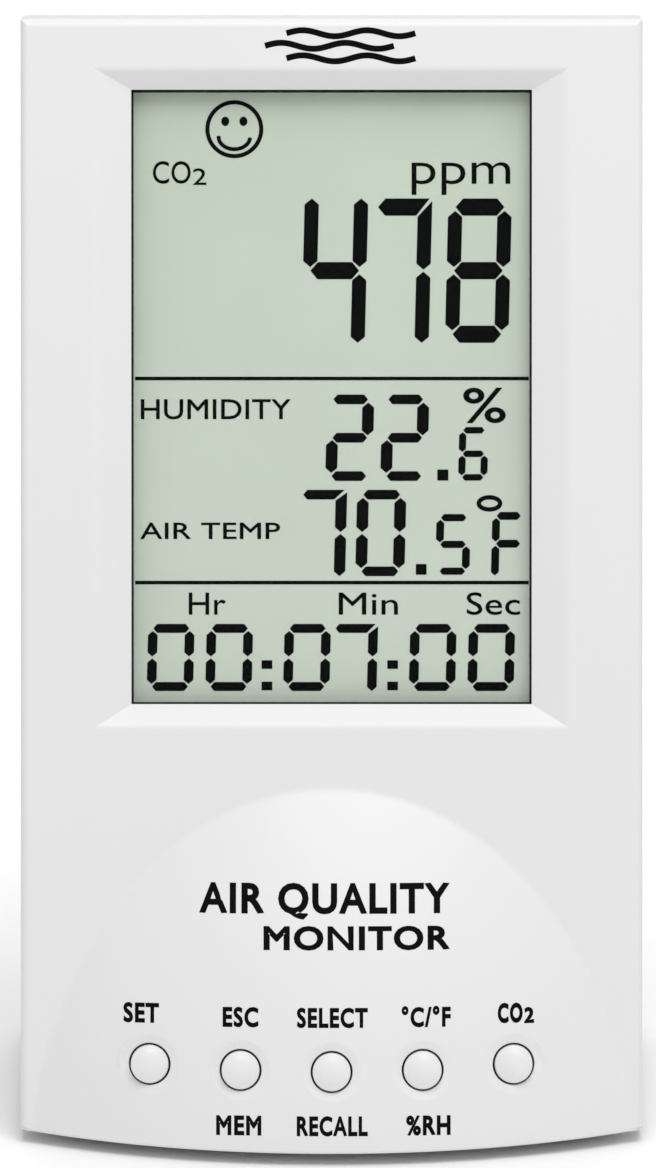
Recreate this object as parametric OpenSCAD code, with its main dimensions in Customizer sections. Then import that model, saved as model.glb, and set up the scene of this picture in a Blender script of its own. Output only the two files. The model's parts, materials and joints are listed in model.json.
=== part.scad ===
// Desktop carbon dioxide monitor: a leaning front cover with a display window and
// five push buttons on a dome, a wedge-shaped rear cover, and the parts inside them.
// Millimetres, +Z up, the front faces -Y, and the origin is on the table under the
// middle of the body.

/* [Body] */
// Width of the body
body_w = 87; // [84:0.5:92]
// Height of the whole monitor, feet included
overall_h = 155; // [150:1:162]
// Depth of the whole monitor at its base
overall_d = 81; // [79:1:88]
// Angle by which the front face leans back from upright
lean = 10; // [8:0.5:11]
// Thickness of the body at its top, square to the front face
top_t = 26; // [25:0.5:30]
// Wall thickness of both covers
wall = 2; // [1.8:0.1:2.2]
// Depth of the front cover behind its face
split = 13; // [13:0.5:15]
// Radius of the edge round the front face
front_edge_r = 1.4; // [1:0.1:2]
// Radius of the rear corners
rear_edge_r = 6; // [4:0.5:7]

/* [Dome] */
// Half the width of the dome's outline on the face
dome_half_w = 42.5; // [42:0.1:43]
// Half the height of the dome's outline
dome_half_h = 56; // [54:0.5:58]
// Distance of the outline's centre below the foot of the face
dome_drop = 8; // [7:0.5:9]
// Greatest height of the dome over the face
dome_rise = 12.8; // [12:0.1:14]

/* [Window] */
// Width of the display opening
window_w = 56; // [54:0.5:57]
// Height of the display opening
window_h = 86; // [84:0.5:86]
// Height of the opening's centre along the face
window_v = 102.8; // [102:0.1:103]
// Width of the sloping bezel at the left and right
bezel_side = 4.9; // [4:0.1:5.5]
// Width of the sloping bezel at the top and bottom
bezel_end = 2.95; // [2.5:0.05:3.2]
// Depth of the display opening's edge under the face
bezel_depth = 2; // [1.8:0.1:2.2]

/* [Buttons] */
// Diameter of a button cap
button_d = 5.3; // [5:0.1:5.6]
// Gap round a button cap
button_gap = 0.27; // [0.2:0.01:0.35]
// Distance between neighbouring buttons
button_pitch = 12.7; // [12:0.1:13]
// Height of the middle button along the face
button_v = 9.2; // [9:0.1:10]
// Radius of the arc that the row of buttons follows
button_row_r = 400; // [300:10:1000]
// Height of a cap over the dome
button_proud = 1.2; // [1:0.1:1.5]
// Travel of a button
button_travel = 0.5; // [0.3:0.05:0.6]

/* [Feet] */
// Diameter of a rubber foot
foot_d = 9; // [8:0.5:10]
// Height of a rubber foot under the base
foot_h = 1.8; // [1.5:0.1:2.5]

/* [Vents] */
// Height of a vent slot
vent_slot_h = 1.8; // [1.5:0.1:2]
// Distance between neighbouring vent slots
vent_pitch = 4; // [3.8:0.1:4.5]
// Rows of slots behind the gas sensor
vent_rows = 10; // [6:1:10]

/* [Hidden] */

$fn = 48;
far = 200;        // longer than any side of the body
below = 25;       // how far a form runs on under the base before it is cut off

white = [0.93, 0.93, 0.92];
board_green = [0.10, 0.36, 0.22];
steel = [0.72, 0.72, 0.74];
black = [0.08, 0.08, 0.09];
gold = [0.83, 0.68, 0.36];

// The dome is part of a spheroid. Its axis is parallel to the face, dome_q behind it.
dome_r = (pow(dome_half_w, 2) + pow(dome_rise, 2)) / (2 * dome_rise);
dome_q = dome_r - dome_rise;
dome_b = dome_r * dome_half_h / dome_half_w;
function dome_radius(v) = dome_r * sqrt(1 - pow((v + dome_drop) / dome_b, 2));
function dome_n(x, v) = sqrt(pow(dome_radius(v), 2) - x * x) - dome_q;
// Reach of the dome in front of the face's foot, measured along the table.
bow = dome_n(0, -dome_rise * tan(lean)) / cos(lean);

// Side profile: the face's foot, the length of the face, and the slope of the rear wall.
face_y = bow - overall_d / 2;
face_l = (overall_h - foot_h - front_edge_r * (1 - cos(lean) - sin(lean))) / cos(lean);
rear_top_y = face_y + face_l * sin(lean) + top_t * cos(lean);
rear_top_z = foot_h + face_l * cos(lean) - top_t * sin(lean);
rear_lean = atan((overall_d / 2 - rear_top_y) / (rear_top_z - foot_h));
rear_foot_v = (overall_d / 2 - face_y) * sin(lean);
rear_turn = lean + rear_lean;
rear_l = (face_l - rear_edge_r - rear_foot_v + rear_edge_r * sin(rear_turn)) / cos(rear_turn);

// Joint between the two covers.
lip_h = 1.6;
lip_t = 0.9;
lip_gap = 0.12;

// Depths under the face, from the window back to the main board.
sill = 0.6;
window_t = 1.5;
gasket_t = 0.8;
glass_t = 1.1;
polariser_t = 0.2;
reflector_t = 0.3;
board_t = 1.6;
window_n = bezel_depth + sill;
gasket_n = window_n + window_t;
polariser_n = gasket_n + gasket_t;
front_glass_n = polariser_n + polariser_t;
rear_glass_n = front_glass_n + glass_t;
reflector_n = rear_glass_n + glass_t;
lcd_back = reflector_n + reflector_t;
board_n = 9.8;
board_back = board_n + board_t;

// Widths and heights of the display's layers.
pane_w = window_w + 4;
pane_h = window_h + 4;
glass_w = 62;
front_glass_h = 94;
rear_glass_h = 88;
film_w = 58;
film_h = 87;
holder_w = 66;
holder_h = 98;
zebra_v = 45.5;    // distance of a rubber contact strip from the window's centre
zebra_w = 57;
zebra_t = 2;
hook_v = 30;       // distance of the holder's hooks from the window's centre
hook_x = holder_w / 2 - 1.4;
hook_l = 3;
hook_t = 1;
hook_slot_w = 1.4;

// Main board.
board_w = 68;
board_v0 = 5.4;
board_v1 = face_l - wall - 1;
board_posts = [for (v = [24, 49.5], x = [-30.5, 30.5]) [x, v]];
post_r = 2.8;
small_screw_r = 1.15;
small_head_r = 2.2;

// Screws that join the covers.
boss_x = 38;
boss_vs = [30, 147.5];
boss_r = 3.6;
column_r = 5;
long_screw_r = 1.45;
long_head_r = 2.8;
well_r = 3.6;
well_floor = split + 4;
screw_fit = 0.03;         // extra radius of a bore that a screw cuts its thread in
long_screw_slack = 0.25;  // extra radius of a hole that a long screw passes through
small_screw_slack = 0.2;  // the same for a small screw
boss_slack = 0.3;         // extra radius round a boss of the front cover

// Buttons, counted from the left, and the switches under them.
button_names = ["set", "esc", "select", "units", "co2"];
function button_x(i) = (i - 2) * button_pitch;
function button_y(i) = button_v + button_row_r - sqrt(pow(button_row_r, 2) - pow(button_x(i), 2));
guide_n = 2;
guide_r = 4.4;
flange_r = 4;
flange_t = 0.9;
flange_gap = 0.1;
stem_r = 1.6;
dish_r = 4.1;
dish_depth = 0.35;
dish_ball_r = (pow(dish_r, 2) + pow(dish_depth, 2)) / (2 * dish_depth);
cap_ball_r = 5;
switch_w = 6;
switch_h = 3.5;
switch_bore_r = 1.78;
plunger_r = 1.7;
plunger_top = board_n - 5;
plunger_l = 2.6;
switch_floor = board_n - plunger_top - plunger_l - button_travel - 0.2;

// Places on the rear wall: x to the right as seen from behind, y up the wall.
jack_at = [19, 15];
jack_nose_r = 3.95;
jack_bore_r = 3;
jack_body_w = 9.4;
jack_body_l = 12;
jack_depth = 14.5;
jack_pin_r = 1;
jack_pin_l = 9;
jack_board_w = 26;
jack_board_h = 18;
jack_posts = [for (x = [-9.5, 9.5]) [jack_at[0] + x, jack_at[1]]];
sensor_at = [0, 88];
sensor_board_w = 56;
sensor_board_h = 40;
sensor_depth = 10;
sensor_posts = [for (x = [-25, 25], y = [-17, 17]) [sensor_at[0] + x, sensor_at[1] + y]];
chamber_w = 40;
chamber_h = 20;
chamber_t = 8;
lid_t = 1.6;
humidity_at = [0, 46];
humidity_board_w = 30;
humidity_board_h = 16;
humidity_depth = 8;
humidity_posts = [for (x = [-11.5, 11.5]) [humidity_at[0] + x, humidity_at[1]]];
rear_post_r = 2.6;

// Headers on the rear of the main board: x across, y up the face.
header_t = 5;
sensor_header = [0, 62];
humidity_header = [-9, 50];
power_header = [-22, 32];

// Feet and base.
feet_at = [[-31, -22], [31, -22], [-31, 31], [31, 31]];
foot_sink = 0.6;

// Frame of the front face: x across, y up the face, z out of it.
module on_face() {
    translate([0, face_y, foot_h]) rotate([90 - lean, 0, 0]) children();
}

// Frame of the rear wall, seen from behind: x to the right, y up the wall, z out of it.
module on_rear() {
    translate([0, overall_d / 2, foot_h]) rotate([90 - rear_lean, 0, 180]) children();
}

// A box on the face: centred on x, from v0 to v1 up the face, from n0 to n1 under it.
module face_box(w, v0, v1, n0, n1) {
    translate([-w / 2, v0, -n1]) cube([w, v1 - v0, n1 - n0]);
}

// A box centred on the window, from n0 to n1 under the face.
module window_box(w, h, n0, n1) {
    face_box(w, window_v - h / 2, window_v + h / 2, n0, n1);
}

// A screw pointing up its z axis from under its head.
module screw(shank_r, shank_l, head_r, head_t) {
    slot_r = head_r * 0.55;
    slot_t = head_r * 0.3;
    cylinder(r = shank_r, h = shank_l);
    difference() {
        translate([0, 0, -head_t]) cylinder(r = head_r, h = head_t);
        for (a = [0, 90]) rotate(a) translate([-slot_r, -slot_t / 2, -head_t - 1])
            cube([2 * slot_r, slot_t, 1 + head_t / 2]);
    }
}

// Points of an arc of radius r about c, or c itself where the corner is sharp.
function arc(c, r, from, to, steps) = r <= 0 ? [c] :
    [for (i = [0 : steps]) let (w = from + (to - from) * i / steps) c + r * [cos(w), sin(w)]];

// The side view's outline, as [y, z], drawn in by t.
function side_outline(t) = concat(
    [face_point(t * (1 + sin(lean)) / cos(lean), t),
     rear_point(t * (1 + sin(rear_lean)) / cos(rear_lean), t)],
    arc(rear_point(rear_l, rear_edge_r), rear_edge_r - t, rear_lean, 90 - lean, 8),
    arc(face_point(face_l - max(front_edge_r, t), max(front_edge_r, t)), front_edge_r - t,
        90 - lean, 180 - lean, 5));

// A plan with its far side at -far and its two near corners rounded, drawn in by t.
function plan_outline(t, edge_r, steps) = let (r = max(edge_r, t), x = body_w / 2 - r) concat(
    [[t - body_w / 2, -far], [body_w / 2 - t, -far]],
    arc([x, -r], edge_r - t, 0, 90, steps),
    arc([-x, -r], edge_r - t, 90, 180, steps));

module plan_bar(t, edge_r, steps) {
    translate([0, far, 0]) rotate([90, 0, 0])
        linear_extrude(height = far + below) polygon(plan_outline(t, edge_r, steps));
}

// The body without the dome, drawn in by t on every side.
module body_form(t) {
    intersection() {
        translate([-body_w, 0, 0]) rotate([90, 0, 90])
            linear_extrude(height = 2 * body_w) polygon(side_outline(t));
        on_face() plan_bar(t, front_edge_r, 5);
        on_rear() plan_bar(t, rear_edge_r, 8);
    }
}

// The dome drawn in by t, cut off just behind the face and at the base.
module dome_form(t) {
    half_angle = 36;
    steps = 24;
    v_low = -8;
    v_high = dome_half_h - dome_drop + 1;
    root = dome_q - 3;
    profile = [for (i = [0 : steps]) let (v = v_low + (v_high - v_low) * i / steps)
        [dome_radius(v) - t, v]];
    intersection() {
        on_face() translate([0, 0, -dome_q]) rotate([-90, 0, 0]) rotate(-90 - half_angle)
            rotate_extrude(angle = 2 * half_angle, $fn = 96)
                polygon(concat([[root, v_low]], profile, [[root, v_high]]));
        on_face() face_box(body_w - 2 * (front_edge_r + t), -below, far, -far, 1 + t);
        translate([-far / 2, -far / 2, foot_h + t]) cube(far);
    }
}

// Both together.
module outer_form(t) {
    body_form(t);
    dome_form(t);
}

// A long bar whose section is a wedge: w wide at the foot of the bezel and opening
// by side on either hand at the face. It lies along the face's y axis.
module bezel_bar(w, side) {
    over = 1;
    spread = side * (bezel_depth + over) / bezel_depth;
    translate([0, far / 2, 0]) rotate([90, 0, 0]) linear_extrude(height = far)
        polygon([[-w / 2, -bezel_depth], [w / 2, -bezel_depth],
            [w / 2 + spread, over], [-w / 2 - spread, over]]);
}

// The sloping cut of the bezel and the display opening under it.
module window_cut() {
    translate([0, window_v, 0]) intersection() {
        bezel_bar(window_w, bezel_side);
        rotate(90) bezel_bar(window_h, bezel_end);
    }
    window_box(window_w, window_h, bezel_depth - 0.5, split);
}

// The button's hole through the dome and the shallow dish round it.
module button_cut(i) {
    x = button_x(i);
    v = button_y(i);
    n = dome_n(x, v);
    slope = pow(dome_r / dome_b, 2) * (v + dome_drop);
    normal = [x, slope, n + dome_q] / norm([x, slope, n + dome_q]);
    translate([x, v, 0]) cylinder(r = button_d / 2 + button_gap, h = far / 4);
    translate([x, v, n] + normal * (dish_ball_r - dish_depth)) sphere(r = dish_ball_r, $fn = 96);
}

module front_cover() color(white) {
    pad = 6.5;
    rib = 1.6;
    rib_gap = 0.2;
    rib_end = polariser_n - 0.2;
    difference() {
        intersection() {
            outer_form(0);
            on_face() face_box(far, -far / 2, far, -far / 2, split);
        }
        difference() {
            outer_form(wall);
            on_face() {
                window_box(window_w + 2 * pad, window_h + 2 * pad - 1.5, 0, window_n);
                window_box(pane_w + 2 * rib, pane_h + 2 * rib, 0, rib_end);
                for (i = [0 : 4]) translate([button_x(i), button_y(i), guide_n])
                    cylinder(r = guide_r, h = far / 10);
                for (p = board_posts) translate([p[0], p[1], -board_n])
                    cylinder(r = post_r, h = board_n + 5);
                for (x = [-boss_x, boss_x], v = boss_vs) translate([x, v, -split])
                    cylinder(r = boss_r, h = split + 5);
            }
        }
        // Rebate that takes the rear cover's lip.
        intersection() {
            body_form(wall - lip_t - lip_gap);
            on_face() difference() {
                face_box(far, -far / 2, far, split - lip_h - 0.2, split + 1);
                for (x = [-boss_x, boss_x], v = boss_vs) translate([x, v, -split - 2])
                    cylinder(r = boss_r, h = split);
            }
        }
        on_face() {
            window_cut();
            window_box(pane_w + 2 * rib_gap, pane_h + 2 * rib_gap, window_n, far / 4);
            for (i = [0 : 4]) button_cut(i);
            for (p = board_posts) translate([p[0], p[1], -board_n - 1])
                cylinder(r = small_screw_r + screw_fit, h = 7);
            for (x = [-boss_x, boss_x], v = boss_vs) translate([x, v, -split - 1])
                cylinder(r = long_screw_r + screw_fit, h = 9);
        }
        for (i = [0, 1]) foot_recess(feet_at[i]);
    }
}

module foot_recess(at) {
    translate([at[0], at[1], 0]) cylinder(r = foot_d / 2 + 0.1, h = foot_h + foot_sink);
}

// A row of slots one above the other, centred on x, the first at y0.
module slot_column(x, y0, rows, w) {
    for (i = [0 : rows - 1])
        translate([x - w / 2, y0 + i * vent_pitch - vent_slot_h / 2, -wall - 1])
            cube([w, vent_slot_h, wall + 2]);
}

module rear_cover() color(white) {
    vent_w = 24;
    vent_x = 15;
    humidity_rows = 4;
    base_slot = [2.2, 30];
    base_pitch = 5.5;
    difference() {
        union() {
            difference() {
                intersection() {
                    body_form(0);
                    on_face() face_box(far, -far / 2, far, split, far);
                }
                difference() {
                    body_form(wall);
                    on_face() for (x = [-boss_x, boss_x], v = boss_vs)
                        translate([x, v, -far / 2]) cylinder(r = column_r, h = far / 2 - split);
                    on_rear() {
                        for (p = jack_posts) post_inside(p, jack_depth);
                        for (p = sensor_posts) post_inside(p, sensor_depth);
                        for (p = humidity_posts) post_inside(p, humidity_depth);
                    }
                }
            }
            // Lip that stands into the front cover's rebate.
            intersection() {
                difference() {
                    body_form(wall - lip_t);
                    body_form(wall);
                }
                on_face() face_box(far, -far / 2, far, split - lip_h, split + 1);
            }
        }
        on_face() for (x = [-boss_x, boss_x], v = boss_vs) {
            translate([x, v, -far / 2]) cylinder(r = well_r, h = far / 2 - well_floor);
            translate([x, v, -far / 2]) cylinder(r = long_screw_r + long_screw_slack, h = far / 2);
            translate([x, v, -split]) cylinder(r = boss_r + boss_slack, h = split);
        }
        on_rear() {
            for (x = [-vent_x, vent_x]) {
                slot_column(x, sensor_at[1] - (vent_rows - 1) * vent_pitch / 2, vent_rows, vent_w);
                slot_column(x, humidity_at[1] - (humidity_rows - 1) * vent_pitch / 2, humidity_rows, vent_w);
            }
            translate([jack_at[0], jack_at[1], -wall - 1])
                cylinder(r = jack_nose_r + 0.1, h = wall + 2);
            for (p = humidity_posts) post_bore(p, humidity_depth);
            for (p = jack_posts) post_bore(p, jack_depth);
            for (p = sensor_posts) post_bore(p, sensor_depth);
        }
        for (i = [-4 : 4]) translate([i * base_pitch - base_slot[0] / 2, -8, foot_h - 1])
            cube([base_slot[0], base_slot[1], wall + 2]);
        for (i = [2, 3]) foot_recess(feet_at[i]);
    }
}

// A post on the inside of the rear wall whose end is depth under the wall's face.
module post_inside(p, depth) {
    translate([p[0], p[1], -depth]) cylinder(r = rear_post_r, h = depth);
}

module post_bore(p, depth) {
    translate([p[0], p[1], -depth - 1]) cylinder(r = small_screw_r + screw_fit, h = depth - wall);
}

module display_window() color([0.85, 0.88, 0.86, 0.4]) on_face()
    window_box(pane_w, pane_h, window_n, gasket_n);

// A foam frame whose inner edge shows inside the opening, most along its top.
module window_gasket() color(black) on_face() difference() {
    shown_side = 0.3;
    shown_top = 0.45;
    shown_bottom = 0.15;
    window_box(pane_w, pane_h, gasket_n, polariser_n);
    face_box(window_w - 2 * shown_side, window_v - window_h / 2 + shown_bottom,
        window_v + window_h / 2 - shown_top, 0, far / 4);
}

module lcd_front_polariser() color([0.75, 0.80, 0.72]) on_face()
    window_box(film_w, film_h, polariser_n, front_glass_n);

module lcd_front_glass() color([0.72, 0.78, 0.70]) on_face()
    window_box(glass_w, front_glass_h, front_glass_n, rear_glass_n);

module lcd_rear_glass() color([0.70, 0.76, 0.68]) on_face()
    window_box(glass_w, rear_glass_h, rear_glass_n, reflector_n);

module lcd_reflector() color([0.74, 0.80, 0.72]) on_face()
    window_box(film_w, film_h - 1, reflector_n, lcd_back);

// Slot in the main board for a hook of the display holder.
module hook_slots(play) {
    for (x = [-1, 1], v = [-1, 1])
        translate([x * hook_x - hook_slot_w / 2 - play, window_v + v * hook_v - hook_l / 2 - play, -far / 4])
            cube([hook_slot_w + 2 * play, hook_l + 2 * play, far / 2]);
}

module lcd_holder() color(white) on_face() {
    fit = 0.3;
    floor_n = lcd_back + 1.2;
    barb = 0.5;
    barb_l = 1.2;
    difference() {
        window_box(holder_w, holder_h, polariser_n + fit, board_n);
        window_box(glass_w + fit, front_glass_h + fit, 0, rear_glass_n);
        window_box(glass_w + fit, rear_glass_h + fit, 0, reflector_n + 0.05);
        window_box(film_w + fit, film_h + fit, 0, lcd_back);
        window_box(film_w - 2, film_h - 10, floor_n, far / 4);
        for (s = [-1, 1]) translate([0, s * zebra_v, 0])
            window_box(zebra_w + fit, zebra_t + fit, 0, far / 4);
    }
    for (x = [-1, 1], v = [-1, 1])
        translate([x * hook_x - hook_t / 2, window_v + v * hook_v - hook_l / 2, -board_back - barb_l]) {
            cube([hook_t, hook_l, board_t + barb_l]);
            translate([x > 0 ? -barb : 0, 0, 0]) cube([hook_t + barb, hook_l, barb_l - 0.05]);
        }
}

module zebra_connectors() color([0.85, 0.85, 0.80]) on_face()
    for (s = [-1, 1]) translate([0, s * zebra_v, 0])
        window_box(zebra_w, zebra_t, rear_glass_n, board_n);

module main_board() color(board_green) on_face() difference() {
    face_box(board_w, board_v0, board_v1, board_n, board_back);
    for (p = board_posts) translate([p[0], p[1], -far / 4])
        cylinder(r = small_screw_r + small_screw_slack, h = far / 2);
    hook_slots(play = 0.2);
    for (x = [-boss_x, boss_x], v = boss_vs) translate([x, v, -far / 4])
        cylinder(r = boss_r + 1.2, h = far / 2);
}

module main_board_screws() color(steel) on_face()
    for (p = board_posts) translate([p[0], p[1], -board_back])
        screw(small_screw_r, 6.5, small_head_r, 1.4);

// A chip on the main board's rear side with its leads along two or four sides.
module chip(w, l, t, pins, sides) {
    lead = [0.35, 1.1, 0.25];
    translate([-w / 2, -l / 2, -t - 0.1]) cube([w, l, t]);
    for (s = [0 : sides - 1]) rotate(s * 360 / sides) for (i = [0 : pins - 1])
        translate([(i - (pins - 1) / 2) * w / (pins + 1) - lead[0] / 2, l / 2 - 0.1, -lead[2]])
            cube(lead);
}

module controller_chip() color(black) on_face()
    translate([-6, 84, -board_back]) chip(12, 12, 1.4, 12, 4);

module memory_chip() color(black) on_face()
    translate([14, 86, -board_back]) chip(5, 4, 1.5, 4, 2);

module clock_crystal() color(steel) on_face()
    translate([-6, 71, -board_back]) rotate([0, 90, 0]) translate([1.5, 0, -4])
        cylinder(r = 1.5, h = 8);

module board_capacitors() color([0.15, 0.18, 0.30]) on_face()
    for (p = [[18, 46, 3.15], [10, 46, 3.15], [24, 66, 2.5]])
        translate([p[0], p[1], -board_back - 6]) cylinder(r = p[2], h = 6);

module board_passives() color([0.55, 0.48, 0.38]) on_face()
    for (p = [for (i = [0 : 5], j = [0 : 3]) [-26 + i * 4.2, 98 + j * 4.4]])
        translate([p[0] - 1, p[1] - 0.6, -board_back - 0.6]) cube([2, 1.2, 0.6]);

module buzzer() color(black) on_face() translate([0, 36, -board_n]) difference() {
    cylinder(r = 6, h = 6.5);
    translate([0, 0, 5]) cylinder(r = 1, h = 5);
}

module header(at, w) {
    pocket = [w - 1.6, 3.4];
    translate([at[0], at[1], -board_back - header_t]) difference() {
        translate([-w / 2, -2.5, 0]) cube([w, 5, header_t]);
        translate([-pocket[0] / 2, -pocket[1] / 2, -1]) cube([pocket[0], pocket[1], header_t]);
    }
}

module board_connectors() color([0.92, 0.90, 0.84]) on_face() {
    header(sensor_header, 10);
    header(humidity_header, 8);
    header(power_header, 6);
}

module key_switches() color(black) on_face() for (i = [0 : 4])
    translate([button_x(i), button_y(i), -board_n]) difference() {
        translate([-switch_w / 2, -switch_w / 2, 0]) cube([switch_w, switch_w, switch_h]);
        translate([0, 0, switch_floor]) cylinder(r = switch_bore_r, h = switch_h);
    }

// A button: a domed cap, the flange that keeps it in the cover, and its stem.
module button(i) color(white) on_face() translate([button_x(i), button_y(i), 0]) {
    top = dome_n(button_x(i), button_y(i)) + button_proud;
    shoulder = top - cap_ball_r + sqrt(pow(cap_ball_r, 2) - pow(button_d / 2, 2));
    flange_top = guide_n - flange_gap;
    flange_bottom = flange_top - flange_t;
    intersection() {
        translate([0, 0, shoulder]) cylinder(r = button_d / 2, h = cap_ball_r);
        translate([0, 0, top - cap_ball_r]) sphere(r = cap_ball_r, $fn = 96);
    }
    translate([0, 0, flange_top]) cylinder(r = button_d / 2, h = shoulder - flange_top);
    translate([0, 0, flange_bottom]) cylinder(r = flange_r, h = flange_t);
    translate([0, 0, -plunger_top]) cylinder(r = stem_r, h = plunger_top + flange_bottom);
}

module plunger(i) color(black) on_face()
    translate([button_x(i), button_y(i), -plunger_top - plunger_l])
        cylinder(r = plunger_r, h = plunger_l);

// A flat cable in the plane of x = const: a smooth curve from a to d, bent towards b and c.
function curve_point(p, t) = pow(1 - t, 3) * p[0] + 3 * pow(1 - t, 2) * t * p[1]
    + 3 * (1 - t) * t * t * p[2] + pow(t, 3) * p[3];
function curve_side(p, t) = let (d = curve_point(p, t + 0.001) - curve_point(p, t - 0.001))
    [-d[1], d[0]] / norm(d);

module flat_cable(x, w, p) {
    cable_t = 1;
    steps = 16;
    ts = [for (i = [0 : steps]) i / steps];
    translate([x - w / 2, 0, 0]) rotate([90, 0, 90]) linear_extrude(height = w)
        polygon(concat(
            [for (t = ts) curve_point(p, t) + curve_side(p, t) * cable_t / 2],
            [for (i = [steps : -1 : 0]) curve_point(p, ts[i]) - curve_side(p, ts[i]) * cable_t / 2]));
}

// Places in the side view, as [y, z].
function face_point(v, n) = [face_y + v * sin(lean) + n * cos(lean), foot_h + v * cos(lean) - n * sin(lean)];
function rear_point(y, depth) = [overall_d / 2 - y * sin(rear_lean) - depth * cos(rear_lean),
    foot_h + y * cos(rear_lean) - depth * sin(rear_lean)];

// A cable in the plane of the header's x, from its pocket to the inner side of a rear board.
module board_cable(at, w, y, depth, reach) {
    flat_cable(at[0], w, [
        face_point(at[1], board_back + 1),
        face_point(at[1], board_back + reach),
        rear_point(y, depth + board_t + reach),
        rear_point(y, depth + board_t)]);
}

module sensor_cable() color([0.75, 0.75, 0.72])
    board_cable(sensor_header, 7, sensor_at[1] - 15, sensor_depth, 11);

module humidity_cable() color([0.75, 0.75, 0.72])
    board_cable(humidity_header, 4, humidity_at[1] - 5, humidity_depth, 14);

module power_cable() color([0.65, 0.12, 0.10])
    board_cable(power_header, 3.6, jack_at[1] + 6, jack_depth, 15);

// A board on the rear wall's posts.
module rear_board(at, w, h, depth, posts) {
    difference() {
        translate([at[0] - w / 2, at[1] - h / 2, -depth - board_t]) cube([w, h, board_t]);
        for (p = posts) translate([p[0], p[1], -far / 2])
            cylinder(r = small_screw_r + small_screw_slack, h = far);
    }
}

module rear_screws(posts, depth) {
    for (p = posts) translate([p[0], p[1], -depth - board_t])
        screw(small_screw_r, 5.5, small_head_r, 1.4);
}

module sensor_board() color(board_green) on_rear()
    rear_board(sensor_at, sensor_board_w, sensor_board_h, sensor_depth, sensor_posts);

module sensor_board_screws() color(steel) on_rear() rear_screws(sensor_posts, sensor_depth);

// The gas sensor: a gold-lined chamber on the board's inner side, with a lamp at one
// end and the detector at the other.
module chamber_space(t) {
    for (x = [-1, 1]) translate([x * (chamber_w - chamber_h) / 2, 0, 0])
        cylinder(r = chamber_h / 2 - t, h = chamber_t);
    translate([-(chamber_w - chamber_h) / 2, -chamber_h / 2 + t, 0])
        cube([chamber_w - chamber_h, chamber_h - 2 * t, chamber_t]);
}

module on_chamber() {
    on_rear() translate([sensor_at[0], sensor_at[1] + 4, -sensor_depth - board_t])
        mirror([0, 0, 1]) children();
}

module sensor_chamber() color(gold) on_chamber() difference() {
    chamber_space(0);
    translate([0, 0, 1.2]) chamber_space(1.2);
    translate([-13, 0, -1]) cylinder(r = 1.7, h = 3);
    translate([13, 0, -1]) cylinder(r = 4.3, h = 3);
}

module chamber_lid() color(gold) on_chamber() difference() {
    translate([0, 0, chamber_t]) linear_extrude(height = lid_t) union() {
        for (x = [-1, 1]) translate([x * (chamber_w - chamber_h) / 2, 0]) circle(r = chamber_h / 2);
        square([chamber_w - chamber_h, chamber_h], center = true);
    }
    translate([0, 0, chamber_t - 1]) cylinder(r = 5, h = lid_t + 2);
}

module air_filter() color([0.96, 0.96, 0.95]) on_chamber()
    translate([0, 0, chamber_t + lid_t]) cylinder(r = 7, h = 0.3);

module ir_lamp() color([0.90, 0.90, 0.88]) on_chamber() translate([-13, 0, 0]) {
    cylinder(r = 1.6, h = 4);
    translate([0, 0, 4]) sphere(r = 1.6);
}

module ir_detector() color(steel) on_chamber() translate([13, 0, 0]) cylinder(r = 4.2, h = 3.6);

module sensor_chip() color(black) on_rear()
    translate([16, sensor_at[1] - 13, -sensor_depth - board_t]) chip(6, 5, 1.5, 4, 2);

module humidity_board() color(board_green) on_rear()
    rear_board(humidity_at, humidity_board_w, humidity_board_h, humidity_depth, humidity_posts);

module humidity_board_screws() color(steel) on_rear() rear_screws(humidity_posts, humidity_depth);

// The humidity and temperature element, on the side of its board that faces the vents.
module humidity_sensor() color([0.96, 0.96, 0.95]) on_rear()
    translate([humidity_at[0], humidity_at[1] + 1, -humidity_depth]) difference() {
        translate([-5, -4, 0]) cube([10, 8, 3.4]);
        for (x = [-3 : 2 : 3]) translate([x - 0.5, -2.5, 2.4]) cube([1, 5, 2]);
    }

module jack_board() color(board_green) on_rear()
    rear_board(jack_at, jack_board_w, jack_board_h, jack_depth, jack_posts);

module jack_board_screws() color(steel) on_rear() rear_screws(jack_posts, jack_depth);

module on_jack() {
    on_rear() translate([jack_at[0], jack_at[1], 0]) children();
}

module dc_jack() color(black) on_jack() difference() {
    union() {
        translate([0, 0, -wall - 0.5]) cylinder(r = jack_nose_r, h = wall + 0.5);
        translate([-jack_body_w / 2, -jack_body_w / 2, -jack_depth])
            cube([jack_body_w, jack_body_w, jack_depth - wall - 0.1]);
    }
    translate([0, 0, -jack_pin_l - 1]) cylinder(r = jack_bore_r, h = far);
}

module jack_pin() color(steel) on_jack()
    translate([0, 0, -jack_pin_l - 1]) cylinder(r = jack_pin_r, h = jack_pin_l);

module housing_screws() color(steel) on_face() for (x = [-boss_x, boss_x], v = boss_vs)
    translate([x, v, -well_floor]) screw(long_screw_r, 11, long_head_r, 2);

module rubber_feet() color(black) for (at = feet_at) translate([at[0], at[1], 0]) {
    cylinder(r1 = foot_d / 2 - 0.5, r2 = foot_d / 2, h = 0.5);
    translate([0, 0, 0.5]) cylinder(r = foot_d / 2, h = foot_h + foot_sink - 0.5);
}

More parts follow.
